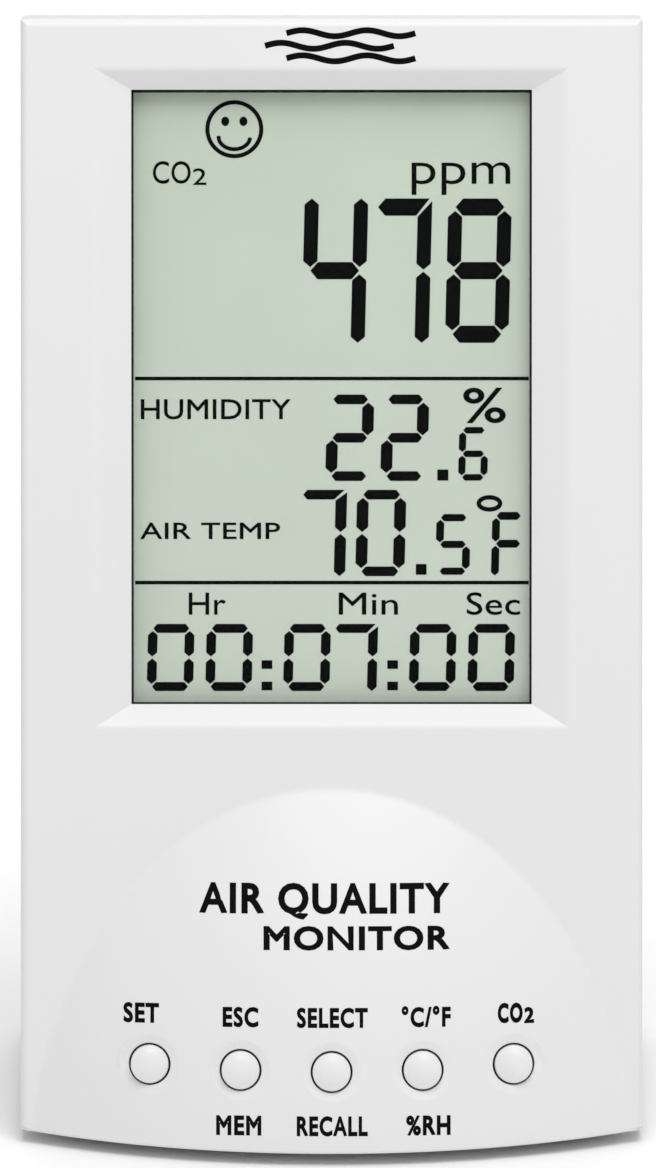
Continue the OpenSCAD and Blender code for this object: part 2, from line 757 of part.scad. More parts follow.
front_cover();
rear_cover();
display_window();
window_gasket();
lcd_front_polariser();
lcd_front_glass();
lcd_rear_glass();
lcd_reflector();
lcd_holder();
zebra_connectors();
main_board();
main_board_screws();
controller_chip();
memory_chip();
clock_crystal();
board_capacitors();
board_passives();
buzzer();
board_connectors();
key_switches();
for (i = [0 : 4]) button(i);
for (i = [0 : 4]) plunger(i);
sensor_cable();
humidity_cable();
power_cable();
sensor_board();
sensor_board_screws();
sensor_chamber();
chamber_lid();
air_filter();
ir_lamp();
ir_detector();
sensor_chip();
humidity_board();
humidity_board_screws();
humidity_sensor();
jack_board();
jack_board_screws();
dc_jack();
jack_pin();
housing_screws();
rubber_feet();
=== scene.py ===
# A desktop carbon dioxide monitor: a leaning white case with a segment display behind
# its sunken window, five push keys on a dome, and the boards and sensors inside it.
# Sizes on the case are in millimetres in the frame of its front face: x across, v up
# the face and n out of it. They are placed in metres.

import json
import math

import bmesh
import bpy
from mathutils import Matrix, Vector
from mathutils.geometry import delaunay_2d_cdt

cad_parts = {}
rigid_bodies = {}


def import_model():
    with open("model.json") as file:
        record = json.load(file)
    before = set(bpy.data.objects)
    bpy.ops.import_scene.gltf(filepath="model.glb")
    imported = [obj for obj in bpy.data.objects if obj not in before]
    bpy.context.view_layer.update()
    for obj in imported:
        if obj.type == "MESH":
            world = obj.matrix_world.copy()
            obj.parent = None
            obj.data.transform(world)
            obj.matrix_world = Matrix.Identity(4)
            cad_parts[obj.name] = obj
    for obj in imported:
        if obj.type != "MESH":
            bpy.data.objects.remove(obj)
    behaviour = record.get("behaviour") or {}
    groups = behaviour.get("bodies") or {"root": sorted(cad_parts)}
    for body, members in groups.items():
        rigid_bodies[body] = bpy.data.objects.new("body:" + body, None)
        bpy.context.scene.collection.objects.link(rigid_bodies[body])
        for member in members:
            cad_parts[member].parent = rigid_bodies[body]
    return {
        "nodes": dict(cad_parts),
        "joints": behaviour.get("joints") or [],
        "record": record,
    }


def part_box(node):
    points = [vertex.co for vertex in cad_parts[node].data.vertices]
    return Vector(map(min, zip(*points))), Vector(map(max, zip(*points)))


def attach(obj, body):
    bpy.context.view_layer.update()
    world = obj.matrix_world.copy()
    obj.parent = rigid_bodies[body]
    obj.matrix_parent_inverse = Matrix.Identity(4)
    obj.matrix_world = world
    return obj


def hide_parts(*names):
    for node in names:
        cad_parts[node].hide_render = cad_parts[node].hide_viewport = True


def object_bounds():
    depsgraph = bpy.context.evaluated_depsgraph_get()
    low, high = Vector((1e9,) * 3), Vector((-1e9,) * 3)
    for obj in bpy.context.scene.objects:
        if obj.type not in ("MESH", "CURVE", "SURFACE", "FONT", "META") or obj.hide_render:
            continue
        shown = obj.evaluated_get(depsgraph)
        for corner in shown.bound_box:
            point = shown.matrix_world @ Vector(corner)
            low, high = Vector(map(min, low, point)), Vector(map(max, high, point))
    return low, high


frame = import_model()
cad_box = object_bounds()

MM = 0.001
NODES = frame["nodes"]
KEYS = ["set", "esc", "select", "units", "co2"]

# ---- the frame of the front face ----

press = Vector(frame["joints"][0]["axis"])
LEAN = math.atan2(-press.z, press.y)
ACROSS = Vector((1, 0, 0))
UP_FACE = Vector((0, math.sin(LEAN), math.cos(LEAN)))
OUT = -press.normalized()
FACE_AXES = (ACROSS, UP_FACE, OUT)
BASE_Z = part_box("front_cover")[0].z


def face_foot():
    """Where the plane of the face meets the level of the case's base, over x = 0."""
    upper = [v.co for v in NODES["front_cover"].data.vertices if v.co.z > cad_box[1].z / 2]
    reach = max(co.dot(OUT) for co in upper)
    return Vector((0, (reach - BASE_Z * OUT.z) / OUT.y, BASE_Z))


FOOT = face_foot()


def on_face(x, v, n):
    """The place in metres of a point on the face."""
    return FOOT + (ACROSS * x + UP_FACE * v + OUT * n) * MM


def to_face(co):
    """A place in metres as x, v and n on the face."""
    return Vector([(co - FOOT).dot(axis) / MM for axis in FACE_AXES])


def face_extent(node):
    """A node's lowest and highest x, v and n."""
    seen = [to_face(v.co) for v in NODES[node].data.vertices]
    return Vector(map(min, zip(*seen))), Vector(map(max, zip(*seen)))


# ---- sizes of the case ----

HALF_W = (cad_box[1].x - cad_box[0].x) / MM / 2
cover_low, cover_high = face_extent("front_cover")
FACE_TOP = cover_high.y
SPLIT = -cover_low.z
WALL = 2
EDGE_R = 1.2
CORNER_R = 0.4
FOOT_EDGE = 0.45
PART_EDGE = 0.25

DOME_HALF_W = 42.5
DOME_HALF_H = 56
DOME_DROP = 8
DOME_RISE = 12.8
DOME_R = (DOME_HALF_W ** 2 + DOME_RISE ** 2) / (2 * DOME_RISE)
DOME_Q = DOME_R - DOME_RISE
DOME_B = DOME_R * DOME_HALF_H / DOME_HALF_W
CREASE = 0.3

window_low, window_high = face_extent("display_window")
WINDOW_V = (window_low.y + window_high.y) / 2
PLATE = -window_high.z
PANE_LAP = 2
OPENING = (window_high.x - PANE_LAP, (window_high.y - window_low.y) / 2 - PANE_LAP)
BEZEL = (4.9, 2.95)
BEZEL_DEPTH = 2
FILM_N = face_extent("lcd_front_polariser")[1].z

HOLE_R = 2.92
HOLE_EDGE = 0.15
DISH_R = 4.3
DISH_DEPTH = 0.2
GUIDE_R = 4.4
GUIDE_N = 2
BOSS_R, BOSS_BORE = 3.6, 1.45
BOSS_AT = [(x, v) for x in (-38, 38) for v in (30, 147.5)]
BOSS_END = 0.5
POST_R, POST_BORE = 2.8, 1.15
POST_AT = [(x, v) for x in (-30.5, 30.5) for v in (24, 49.5)]
POST_N = -face_extent("main_board")[1].z
SUNK = 0.5
FRAME_WALL = 1.4
FRAME_PLAY = 0.2
FRAME_ROOT = 0.3

# How finely the outlines are divided.
SIDE_STEPS = 70
TOP_STEPS = 40
FOOT_STEPS = 84
ROUND_STEPS = 4
EDGE_STEPS = 5
DOME_STEPS = 160
DOME_OFFSETS = (-1.8, -1, -0.5, -0.25, 0, 0.25, 0.5)
BEZEL_SHARES = (0, 0.82, 0.91, 1, 1.09, 1.18)
DISH_RADII = [3.3, 3.55, 3.8, 4.05, DISH_R, DISH_R + 0.4]
KEY_SIDES = 64
TUBE_SIDES = 32


def key_places():
    """The middle of each key, as (x, v)."""
    boxes = [face_extent("button_" + name) for name in KEYS]
    return [((low.x + high.x) / 2, (low.y + high.y) / 2) for low, high in boxes]


KEY_AT = key_places()

# ---- the shape of the face ----


def smooth_max(a, b, k):
    """The larger of a and b, blended where they are within k of each other."""
    near = max(k - abs(a - b), 0) / k
    return max(a, b) + near * near * k / 4


def fall(run, radius):
    """How far a rounded edge has dropped, run into its last radius."""
    run = min(max(run, 0), radius)
    return radius - math.sqrt(radius ** 2 - run ** 2)


def dome(x, v, wall=0):
    """Height of the dome, or of its inner side at that wall's thickness."""
    ring = (DOME_R - wall) ** 2 * (1 - ((v + DOME_DROP) / DOME_B) ** 2) - x * x
    return math.sqrt(max(ring, 0)) - DOME_Q


def bezel(x, v):
    """Height of the flat face and of the bezel that slopes in to the opening."""
    offsets = (abs(x), abs(v - WINDOW_V))
    run = max((d - half) / width for d, half, width in zip(offsets, OPENING, BEZEL))
    return -smooth_max(0, BEZEL_DEPTH * (1 - run), CREASE)


def from_outline(x, v):
    """Signed distance to the outline of the face, negative inside it."""
    across = abs(x) - HALF_W + CORNER_R
    up = v - FACE_TOP + CORNER_R
    beyond = math.hypot(max(across, 0), max(up, 0))
    return beyond + min(max(across, up), 0) - CORNER_R


def dish(x, v):
    """Depth of the shallow dish round a key, with the softened edge of its hole."""
    for at in KEY_AT:
        away = math.hypot(x - at[0], v - at[1]) - HOLE_R
        reach = DISH_R - HOLE_R
        if away < reach:
            bowl = 1 - (max(away, 0) / reach) ** 2
            return DISH_DEPTH * bowl * bowl + fall(HOLE_EDGE - away, HOLE_EDGE)
    return 0


def face_height(x, v):
    """Height of the outside of the front cover over the plane of its face."""
    height = smooth_max(bezel(x, v), dome(x, v), CREASE)
    return height - fall(EDGE_R + from_outline(x, v), EDGE_R) - dish(x, v)


def inner_height(x, v):
    """Height of the inside of the front cover."""
    return max(-PLATE, dome(x, v, WALL))


def foot_line(lift, height):
    """The v, for each x, at which a surface is lift above the level of the base."""

    def line(x):
        v = 0
        for _ in range(12):
            v = lift / math.cos(LEAN) - height(x, v) * math.tan(LEAN)
        return v

    return line


def face_normal(x, v):
    """The direction in which the face's outer surface looks, on the face's axes."""
    d = 0.01
    slope_x = (face_height(x + d, v) - face_height(x - d, v)) / (2 * d)
    slope_v = (face_height(x, v + d) - face_height(x, v - d)) / (2 * d)
    return Vector((-slope_x, -slope_v, 1)).normalized()


# ---- building meshes ----

OUTER = "outer"


class Form:
    """Points and faces of one piece, gathered from its several surfaces."""

    def __init__(self, surface=None):
        self.surface = surface
        self.points = []
        self.faces = []
        self.marks = []

    def add(self, points, faces, mark=0):
        """Adds a surface whose faces count from its own first point."""
        start = len(self.points)
        self.points += [tuple(p) for p in points]
        self.faces += [tuple(start + i for i in face) for face in faces]
        self.marks += [mark] * len(faces)

    def loft(self, rows):
        """Adds quads through closed rows of as many points."""
        count = len(rows[0])
        faces = []
        for low in range(0, count * (len(rows) - 1), count):
            high = low + count
            for i in range(count):
                j = (i + 1) % count
                faces.append((low + i, low + j, high + j, high + i))
        self.add([p for row in rows for p in row], faces)

    def lathe(self, profile, at, count):
        """Adds a turned shape from (radius, n) pairs, on an axis along n."""
        rows = [[(x, v, n) for x, v in circle(at, max(r, 1e-4), count)] for r, n in profile]
        self.loft(rows)

    def lifted(self, places, n):
        """Places on this form's surface, n above it."""
        return [(x, v, self.surface(x, v) + n) for x, v in places]

    def prism(self, places, low, high):
        """Adds a flat shape, given by its outline, as a thin closed solid."""
        around = tuple(range(len(places)))
        rows = [self.lifted(places, low), self.lifted(places, high)]
        self.loft(rows)
        self.add(rows[0], [around[::-1]])
        self.add(rows[1], [around])

    def solid(self, loops, low, high):
        """Adds flat shapes, given by their outlines and holes, as thin closed solids."""
        sheet = Sheet()
        for loop in loops:
            self.loft([self.lifted(loop, low), self.lifted(loop, high)])
            sheet.line(loop, closed=True)
        points, faces = sheet.fill(self.surface, lambda x, v: is_within(x, v, loops))
        self.add([(x, v, n + high) for x, v, n in points], faces)
        self.add([(x, v, n + low) for x, v, n in points], [face[::-1] for face in faces])

    def stroke(self, line, width, low, high, closed=False):
        """Adds a line of even width as a thin closed solid."""
        sides = [[], []]
        count = len(line)
        for i, place in enumerate(line):
            before = line[i - 1] if closed or i else place
            after = line[(i + 1) % count] if closed or i < count - 1 else place
            way = Vector((after[0] - before[0], after[1] - before[1])).normalized()
            for side, sign in zip(sides, (1, -1)):
                step = sign * width / 2
                side.append((place[0] - way.y * step, place[1] + way.x * step))
        if not closed:
            self.prism(sides[0] + sides[1][::-1], low, high)
            return
        left, right = sides
        rows = [(left, low), (left, high), (right, high), (right, low), (left, low)]
        self.loft([self.lifted(side, n) for side, n in rows])


def is_within(x, v, loops):
    """Whether a place is inside an odd number of outlines."""
    inside = False
    for loop in loops:
        for a, b in zip(loop, loop[1:] + loop[:1]):
            if (a[1] > v) != (b[1] > v):
                if x < a[0] + (b[0] - a[0]) * (v - a[1]) / (b[1] - a[1]):
                    inside = not inside
    return inside


def oval(middle, radii, count, first=0.0, last=2 * math.pi):
    """Places along an oval, all the way round it or from one turn to another."""
    turns = [first + (last - first) * i / count for i in range(count)]
    return [(middle[0] + radii[0] * math.cos(t), middle[1] + radii[1] * math.sin(t))
            for t in turns]


def circle(at, radius, count):
    """Places round a circle."""
    return oval(at, (radius, radius), count)


def quarter(steps):
    """Angles from nothing to a quarter turn."""
    return [math.pi / 2 * i / steps for i in range(steps + 1)]


def mesh_from(name, form):
    """A mesh of a form whose doubles are merged and whose faces point outwards."""
    work = bmesh.new()
    marks = work.faces.layers.int.new(OUTER) if any(form.marks) else None
    verts = [work.verts.new(on_face(*p)) for p in form.points]
    for face, mark in zip(form.faces, form.marks):
        if len({form.points[i] for i in face}) > 2:
            made = work.faces.new([verts[i] for i in face])
            if mark:
                made[marks] = mark
    bmesh.ops.remove_doubles(work, verts=work.verts, dist=0.0005 * MM)
    bmesh.ops.dissolve_degenerate(work, edges=work.edges, dist=0.0002 * MM)
    bmesh.ops.recalc_face_normals(work, faces=work.faces)
    mesh = bpy.data.meshes.new(name)
    work.to_mesh(mesh)
    work.free()
    return mesh


def shade_smooth(mesh, crisp=32):
    """Shades a mesh smooth, and keeps edges sharper than crisp degrees."""
    mesh.polygons.foreach_set("use_smooth", [True] * len(mesh.polygons))
    mesh.set_sharp_from_angle(angle=math.radians(crisp))


def put(name, data):
    """A new object in the scene."""
    thing = bpy.data.objects.new(name, data)
    bpy.context.scene.collection.objects.link(thing)
    return thing


def add_print(name, form, finish):
    """A printed piece, which replaces nothing."""
    add_piece(mesh_from(name, form), "monitor", "black_plastic", finish)


def add_piece(mesh, body, slot, finish, *replaced):
    """Puts a mesh in the scene as a piece that rides on a body."""
    mesh.materials.clear()
    mesh.materials.append(finish)
    piece = put(mesh.name, mesh)
    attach(piece, body)
    if replaced:
        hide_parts(*replaced)


# ---- the front cover ----


class Sheet:
    """Lines and points over the face, filled in with triangles that follow them."""

    def __init__(self):
        self.points = []
        self.edges = []

    def line(self, places, closed=False):
        """Adds an edge that the triangles keep to."""
        start = len(self.points)
        count = len(places)
        self.points += [Vector(p) for p in places]
        last = count if closed else count - 1
        self.edges += [(start + i, start + (i + 1) % count) for i in range(last)]

    def scatter(self, places):
        """Adds loose points, which carry the curve of the surface."""
        self.points += [Vector(p) for p in places]

    def fill(self, height, keep):
        """Points at their heights, and the triangles whose middles are kept."""
        flat, _, faces, _, _, _ = delaunay_2d_cdt(self.points, self.edges, [], 0, 1e-5)
        kept = []
        for face in faces:
            middle = sum((flat[i] for i in face), Vector((0, 0))) / len(face)
            if keep(middle.x, middle.y):
                kept.append(tuple(face))
        return [(p.x, p.y, height(p.x, p.y)) for p in flat], kept


def front_outline(inset, base_line, lift=0):
    """The outline of the face, up its left side, over its top and down its right."""
    side = HALF_W - inset
    corner = max(CORNER_R - inset, 0.01)
    rise = FACE_TOP - inset - corner
    low = base_line(side) + lift
    left = [(-side, low + (rise - low) * i / SIDE_STEPS) for i in range(SIDE_STEPS)]
    for turn in quarter(ROUND_STEPS):
        left.append((-side + corner * (1 - math.cos(turn)), rise + corner * math.sin(turn)))
    flat = side - corner
    top = [(-flat + 2 * flat * i / TOP_STEPS, FACE_TOP - inset) for i in range(1, TOP_STEPS)]
    return left + top + [(-x, v) for x, v in reversed(left)]


def foot_places(inset, base_line):
    """Places along the foot of the face, from right to left."""
    side = HALF_W - inset
    places = [side * (1 - 2 * i / FOOT_STEPS) for i in range(1, FOOT_STEPS)]
    return [(x, base_line(x)) for x in places]


def face_loop(inset, base_line):
    """The whole closed outline of the face."""
    return front_outline(inset, base_line) + foot_places(inset, base_line)


def window_loop(grow, step=2):
    """The outline of the opening, or one as much larger as grow along its bezel."""
    half = [size + width * grow for size, width in zip(OPENING, BEZEL)]
    counts = [math.ceil(2 * size / step) for size in half]
    bottom = [(half[0] * (2 * i / counts[0] - 1), -half[1]) for i in range(counts[0])]
    right = [(half[0], half[1] * (2 * i / counts[1] - 1)) for i in range(counts[1])]
    loop = bottom + right
    loop += [(-x, -y) for x, y in loop]
    return [(x, WINDOW_V + y) for x, y in loop]


def dome_line(offset, base_line):
    """The dome's outline, moved out by offset, above the foot of the face."""
    places = []
    for i in range(DOME_STEPS + 1):
        turn = math.pi * i / DOME_STEPS
        x = (DOME_HALF_W + offset) * math.cos(turn)
        v = (DOME_HALF_H + offset) * math.sin(turn) - DOME_DROP
        if v > base_line(x) + 0.15 and abs(x) < HALF_W - EDGE_R - 0.05:
            places.append((x, v))
    return places


def near_key(x, v, radius):
    """Whether a place is within radius of the middle of a key."""
    return any(math.hypot(x - at[0], v - at[1]) < radius for at in KEY_AT)


def dome_grid(step, margin, base_line):
    """Points over the dome, away from its outline and the keys."""
    across = int(DOME_HALF_W / step)
    up = int(DOME_HALF_H / step)
    for i in range(-across, across + 1):
        for j in range(-2, up):
            x, v = i * step, j * step
            share = math.hypot(x / (DOME_HALF_W - margin), (v + DOME_DROP) / (DOME_HALF_H - margin))
            if share < 1 and v > base_line(x) + 0.6 and not near_key(x, v, DISH_R + 1):
                yield x, v


def is_cover(base_line):
    """A test for places on the cover: not in the opening, a key's hole or the foot."""

    def test(x, v):
        in_opening = abs(x) < OPENING[0] and abs(v - WINDOW_V) < OPENING[1]
        return not in_opening and not near_key(x, v, HOLE_R * 0.9985) and v > base_line(x) - 0.01

    return test


def outer_sheet(base_line):
    """The outside of the front: face, bezel, dome, dishes and rounded edges."""
    sheet = Sheet()
    sheet.line(face_loop(0, base_line), closed=True)
    for turn in quarter(EDGE_STEPS)[1:]:
        sheet.line(front_outline(EDGE_R * (1 - math.cos(turn)), base_line, 0.05))
    for offset in DOME_OFFSETS:
        sheet.line(dome_line(offset, base_line))
    for grow in BEZEL_SHARES:
        sheet.line(window_loop(grow), closed=True)
    for sx, sy in ((-1, -1), (-1, 1), (1, -1), (1, 1)):
        sheet.line([(sx * (OPENING[0] + BEZEL[0] * k), WINDOW_V + sy * (OPENING[1] + BEZEL[1] * k))
                    for k in (0, 1)])
    radii = [HOLE_R + HOLE_EDGE * (1 - math.cos(turn)) for turn in quarter(ROUND_STEPS)]
    for at in KEY_AT:
        for radius in radii + DISH_RADII:
            sheet.line(circle(at, radius, KEY_SIDES), closed=True)
    sheet.scatter(dome_grid(1.1, 2.5, base_line))
    return sheet.fill(face_height, is_cover(base_line))


def inner_sheet(base_line):
    """The inside of the front, a wall's thickness from the outside."""
    sheet = Sheet()
    sheet.line(face_loop(WALL, base_line), closed=True)
    sheet.line(window_loop(0), closed=True)
    for at in KEY_AT:
        sheet.line(circle(at, HOLE_R, KEY_SIDES), closed=True)
    sheet.scatter(dome_grid(2.5, 3, base_line))
    return sheet.fill(inner_height, is_cover(base_line))


def wall_row(inset, depth):
    """The outline of the cover's walls at a depth, its foot inset from the base."""
    low = (inset + depth * math.sin(LEAN)) / math.cos(LEAN)
    return [(x, v, -depth) for x, v in face_loop(inset, lambda x: low)]


def foot_rows(lip_line, edge_line):
    """Rows that turn the foot of the face softly on to the base."""
    start = [(x, v, face_height(x, v)) for x, v in face_loop(0, lip_line)]
    tip = [(x, v, face_height(x, v)) for x, v in face_loop(0, edge_line)]
    sides = len(front_outline(0, lip_line))
    rows = []
    for step in range(5):
        t = step / 4
        row = []
        for i, (a, b) in enumerate(zip(start, tip)):
            if 0 < i < sides - 1:
                row.append(a)
                continue
            c = Vector(b) + Vector((0, math.sin(LEAN), -math.cos(LEAN))) * FOOT_EDGE
            row.append(tuple(Vector(a) * (1 - t) ** 2 + Vector(b) * (2 * t * (1 - t)) + c * t * t))
        rows.append(row)
    return rows


def tube(form, at, outer, inner, front, back):
    """Adds a hollow post between two depths."""
    profile = [(outer, front), (outer, back), (inner, back), (inner, front), (outer, front)]
    form.lathe(profile, at, TUBE_SIDES)


def frame_wall(form, half_w, half_h, thick, front, back):
    """Adds a rectangular wall round the window between two depths."""
    rows = []
    for grow, n in ((thick, front), (thick, back), (0, back), (0, front), (thick, front)):
        w, h = half_w + grow, half_h + grow
        corners = ((-w, -h), (w, -h), (w, h), (-w, h))
        rows.append([(x, WINDOW_V + y, n) for x, y in corners])
    form.loft(rows)


def front_cover_form():
    """The front cover: its closed shell, and the posts and walls inside it."""
    form = Form()
    lip_line = foot_line(FOOT_EDGE, face_height)
    edge_line = foot_line(0, face_height)
    inside_line = foot_line(WALL, inner_height)
    form.add(*outer_sheet(lip_line), mark=1)
    form.add(*inner_sheet(inside_line))
    rows = foot_rows(lip_line, edge_line)
    third = PART_EDGE * 0.3
    rows += [wall_row(0, SPLIT - PART_EDGE), wall_row(third, SPLIT - third),
             wall_row(PART_EDGE, SPLIT), wall_row(WALL, SPLIT)]
    rows.append([(x, v, inner_height(x, v)) for x, v in face_loop(WALL, inside_line)])
    form.loft(rows)
    holes = [window_loop(0)] + [circle(at, HOLE_R, KEY_SIDES) for at in KEY_AT]
    for hole in holes:
        form.loft([[(x, v, f(x, v)) for x, v in hole] for f in (face_height, inner_height)])
    for at in KEY_AT:
        tube(form, at, GUIDE_R, HOLE_R, dome(*at, WALL) + SUNK, GUIDE_N)
    for at in BOSS_AT:
        tube(form, at, BOSS_R, BOSS_BORE, inner_height(*at) + SUNK, BOSS_END - SPLIT)
    for at in POST_AT:
        tube(form, at, POST_R, POST_BORE, inner_height(*at) + SUNK, -POST_N)
    pane_w, pane_h = window_high.x, (window_high.y - window_low.y) / 2
    frame_wall(form, pane_w + FRAME_PLAY, pane_h + FRAME_PLAY, FRAME_WALL,
               FRAME_ROOT - PLATE, FILM_N + FRAME_PLAY)
    return form


def set_true_normals(mesh):
    """Gives the outer sheet's corners the directions of the surface itself."""
    normals = [n.vector.copy() for n in mesh.corner_normals]
    turn = Matrix(FACE_AXES).transposed()
    outer = mesh.attributes[OUTER].data
    places = [to_face(v.co) for v in mesh.vertices]
    for face in mesh.polygons:
        if not outer[face.index].value:
            continue
        corners = [places[i] for i in face.vertices]
        middle = sum(corners, Vector((0, 0, 0))) / len(corners)
        for loop, corner in zip(face.loop_indices, corners):
            at = corner.lerp(middle, 0.05)
            normals[loop] = turn @ face_normal(at.x, at.y)
    mesh.normals_split_custom_set(normals)


def make_front_cover(finish):
    """The front cover's piece."""
    mesh = mesh_from("front_cover_skin", front_cover_form())
    shade_smooth(mesh)
    set_true_normals(mesh)
    mesh.attributes.remove(mesh.attributes[OUTER])
    add_piece(mesh, "monitor", "cover_plastic", finish, "front_cover")


# ---- the rear cover ----


def hull_planes(mesh):
    """The planes of a mesh's convex hull, as (normal, distance)."""
    work = bmesh.new()
    work.from_mesh(mesh)
    hull = bmesh.ops.convex_hull(work, input=work.verts, use_existing_faces=False)
    faces = [f for f in hull["geom"] if isinstance(f, bmesh.types.BMFace)]
    middle = sum((v.co for v in work.verts), Vector()) / len(work.verts)
    planes = set()
    for face in faces:
        face.normal_update()
        normal = face.normal.copy()
        if normal.length < 0.5:
            continue
        if (face.verts[0].co - middle).dot(normal) < 0:
            normal.negate()
        planes.add((tuple(round(c, 4) for c in normal), round(face.verts[0].co.dot(normal), 6)))
    work.free()
    return [(Vector(normal), distance) for normal, distance in planes]


REAR_EDGE = 0.3
REAR_CRISP = 34


def make_rear_cover(finish):
    """A copy of the rear cover with its outer edges rounded over."""
    source = NODES["rear_cover"].data
    work = bmesh.new()
    work.from_mesh(source)
    bmesh.ops.remove_doubles(work, verts=work.verts, dist=0.002 * MM)
    bmesh.ops.dissolve_limit(work, angle_limit=math.radians(0.6), verts=work.verts,
                             edges=work.edges)
    planes = hull_planes(source)
    outside = {
        v for v in work.verts
        if max(v.co.dot(normal) - distance for normal, distance in planes) > -0.02 * MM
    }
    edges = [
        e for e in work.edges
        if e.is_manifold and e.is_convex and e.calc_face_angle() > math.radians(REAR_CRISP)
        and outside.issuperset(e.verts)
    ]
    bmesh.ops.bevel(work, geom=edges, offset=REAR_EDGE * MM, offset_type="OFFSET", segments=3,
                    profile=0.5, affect="EDGES", clamp_overlap=False, loop_slide=True)
    mesh = bpy.data.meshes.new("rear_cover_skin")
    work.to_mesh(mesh)
    work.free()
    shade_smooth(mesh, REAR_CRISP)
    add_piece(mesh, "monitor", "cover_plastic", finish, "rear_cover")


# ---- the screws ----

REAR_OUT = Vector(next(m["axis"] for m in frame["record"]["mounts"] if m["kind"] == "pin"))
SCREW_NODES = {
    "main_board_screws": OUT,
    "housing_screws": OUT,
    "sensor_board_screws": REAR_OUT,
    "humidity_board_screws": REAR_OUT,
    "jack_board_screws": REAR_OUT,
}
SCREW_SIZES = ("Head Radius", "Head Height", "Shank Radius", "Shank Length")
SCREW_CRISP = 35
CORE = 0.84
THREAD = 0.8
FAN = {"fill_type": "TRIANGLE_FAN"}


def islands(node):
    """The points of each separate solid of a CAD node."""
    work = bmesh.new()
    work.from_mesh(NODES[node].data)
    bmesh.ops.remove_doubles(work, verts=work.verts, dist=0.001 * MM)
    seen = set()
    found = []
    for first in work.verts:
        if first in seen:
            continue
        seen.add(first)
        stack = [first]
        island = []
        while stack:
            vert = stack.pop()
            island.append(vert.co.copy())
            for edge in vert.link_edges:
                other = edge.other_vert(vert)
                if other not in seen:
                    seen.add(other)
                    stack.append(other)
        found.append(island)
    work.free()
    return sorted(found, key=lambda island: tuple(round(c, 5) for c in island_middle(island)))


def island_middle(island):
    """The middle of a solid's box."""
    return Vector([(min(c) + max(c)) / 2 for c in zip(*island)])


def measure_screw(island, way):
    """A screw's place under its head, and its sizes, from the solid that stands for it."""
    heights = [co.dot(way) for co in island]
    low, high = min(heights), max(heights)
    ends = [co for co, height in zip(island, heights) if height - low < 0.02 * MM]
    centre = sum(ends, Vector()) / len(ends)
    away = [(co - centre - way * (height - low)).length for co, height in zip(island, heights)]
    head_r = max(away)
    head_t = max(h for h, r in zip(heights, away) if r > head_r * 0.9) - low
    shank_r = max(r for h, r in zip(heights, away) if h > low + head_t + 0.1 * MM)
    return centre + way * head_t, (head_r, head_t, shank_r, high - low - head_t)


def raised(g, shape, height):
    """A shape moved up its own axis."""
    up = g.node("ShaderNodeCombineXYZ", inputs={2: height})
    return g.node("GeometryNodeTransform", inputs={"Geometry": shape, "Translation": up})


def screw_head(g, size):
    """A pan head with a cross recess, under the level of z = 0."""
    radius, height = size["Head Radius"], size["Head Height"]
    disc = g.node("GeometryNodeMeshCylinder", FAN, {
        "Vertices": 32, "Side Segments": 4, "Fill Segments": 3, "Radius": radius, "Depth": height})
    place = g.node("GeometryNodeInputPosition")
    part = g.node("ShaderNodeSeparateXYZ", inputs={0: place})
    x, y, z = (Wire(g, output) for output in part.socket.node.outputs)
    crown = 0.5 - z / height
    narrow = 1 - 0.2 * crown * crown * crown
    spread = (x * x + y * y) / (radius * radius)
    domed = z - height * 0.5 + 0.3 * height * spread * crown
    moved = g.node("ShaderNodeCombineXYZ", inputs={0: x * narrow, 1: y * narrow, 2: domed})
    head = g.node("GeometryNodeSetPosition", inputs={"Geometry": disc, "Position": moved})
    for long_side, depth in ((0, 1.1), (1, 1.2)):
        sizes = [radius * 0.3, radius * 0.3, height * depth]
        sizes[long_side] = radius * 1.15
        block = g.node("ShaderNodeCombineXYZ", inputs=dict(enumerate(sizes)))
        cube = g.node("GeometryNodeMeshCube", inputs={"Size": block})
        cut = raised(g, cube, height * -1)
        head = g.node("GeometryNodeMeshBoolean", {"operation": "DIFFERENCE"}, {0: head, 1: [cut]})
    return head


def screw_shank(g, size):
    """A shank with a thread round it and a blunt point."""
    radius, length = size["Shank Radius"], size["Shank Length"]
    core = g.node("GeometryNodeMeshCylinder", FAN, {
        "Vertices": 20, "Radius": radius * CORE, "Depth": length * 0.9})
    cone = g.node("GeometryNodeMeshCone", FAN, {
        "Vertices": 20, "Radius Top": radius * 0.4, "Radius Bottom": radius * CORE,
        "Depth": length * 0.1})
    helix = g.node("GeometryNodeCurveSpiral", inputs={
        "Resolution": 14, "Rotations": length / (THREAD * MM) * 0.8, "Height": length * 0.8,
        "Start Radius": radius * CORE, "End Radius": radius * CORE})
    ridge = g.node("GeometryNodeCurvePrimitiveCircle", {"mode": "RADIUS"}, {
        "Resolution": 4, "Radius": radius * 0.16})
    thread = g.node("GeometryNodeCurveToMesh", inputs={
        "Curve": raised(g, helix, length * 0.08), "Profile Curve": ridge, "Fill Caps": True})
    return [raised(g, core, length * 0.45), raised(g, cone, length * 0.9), thread]


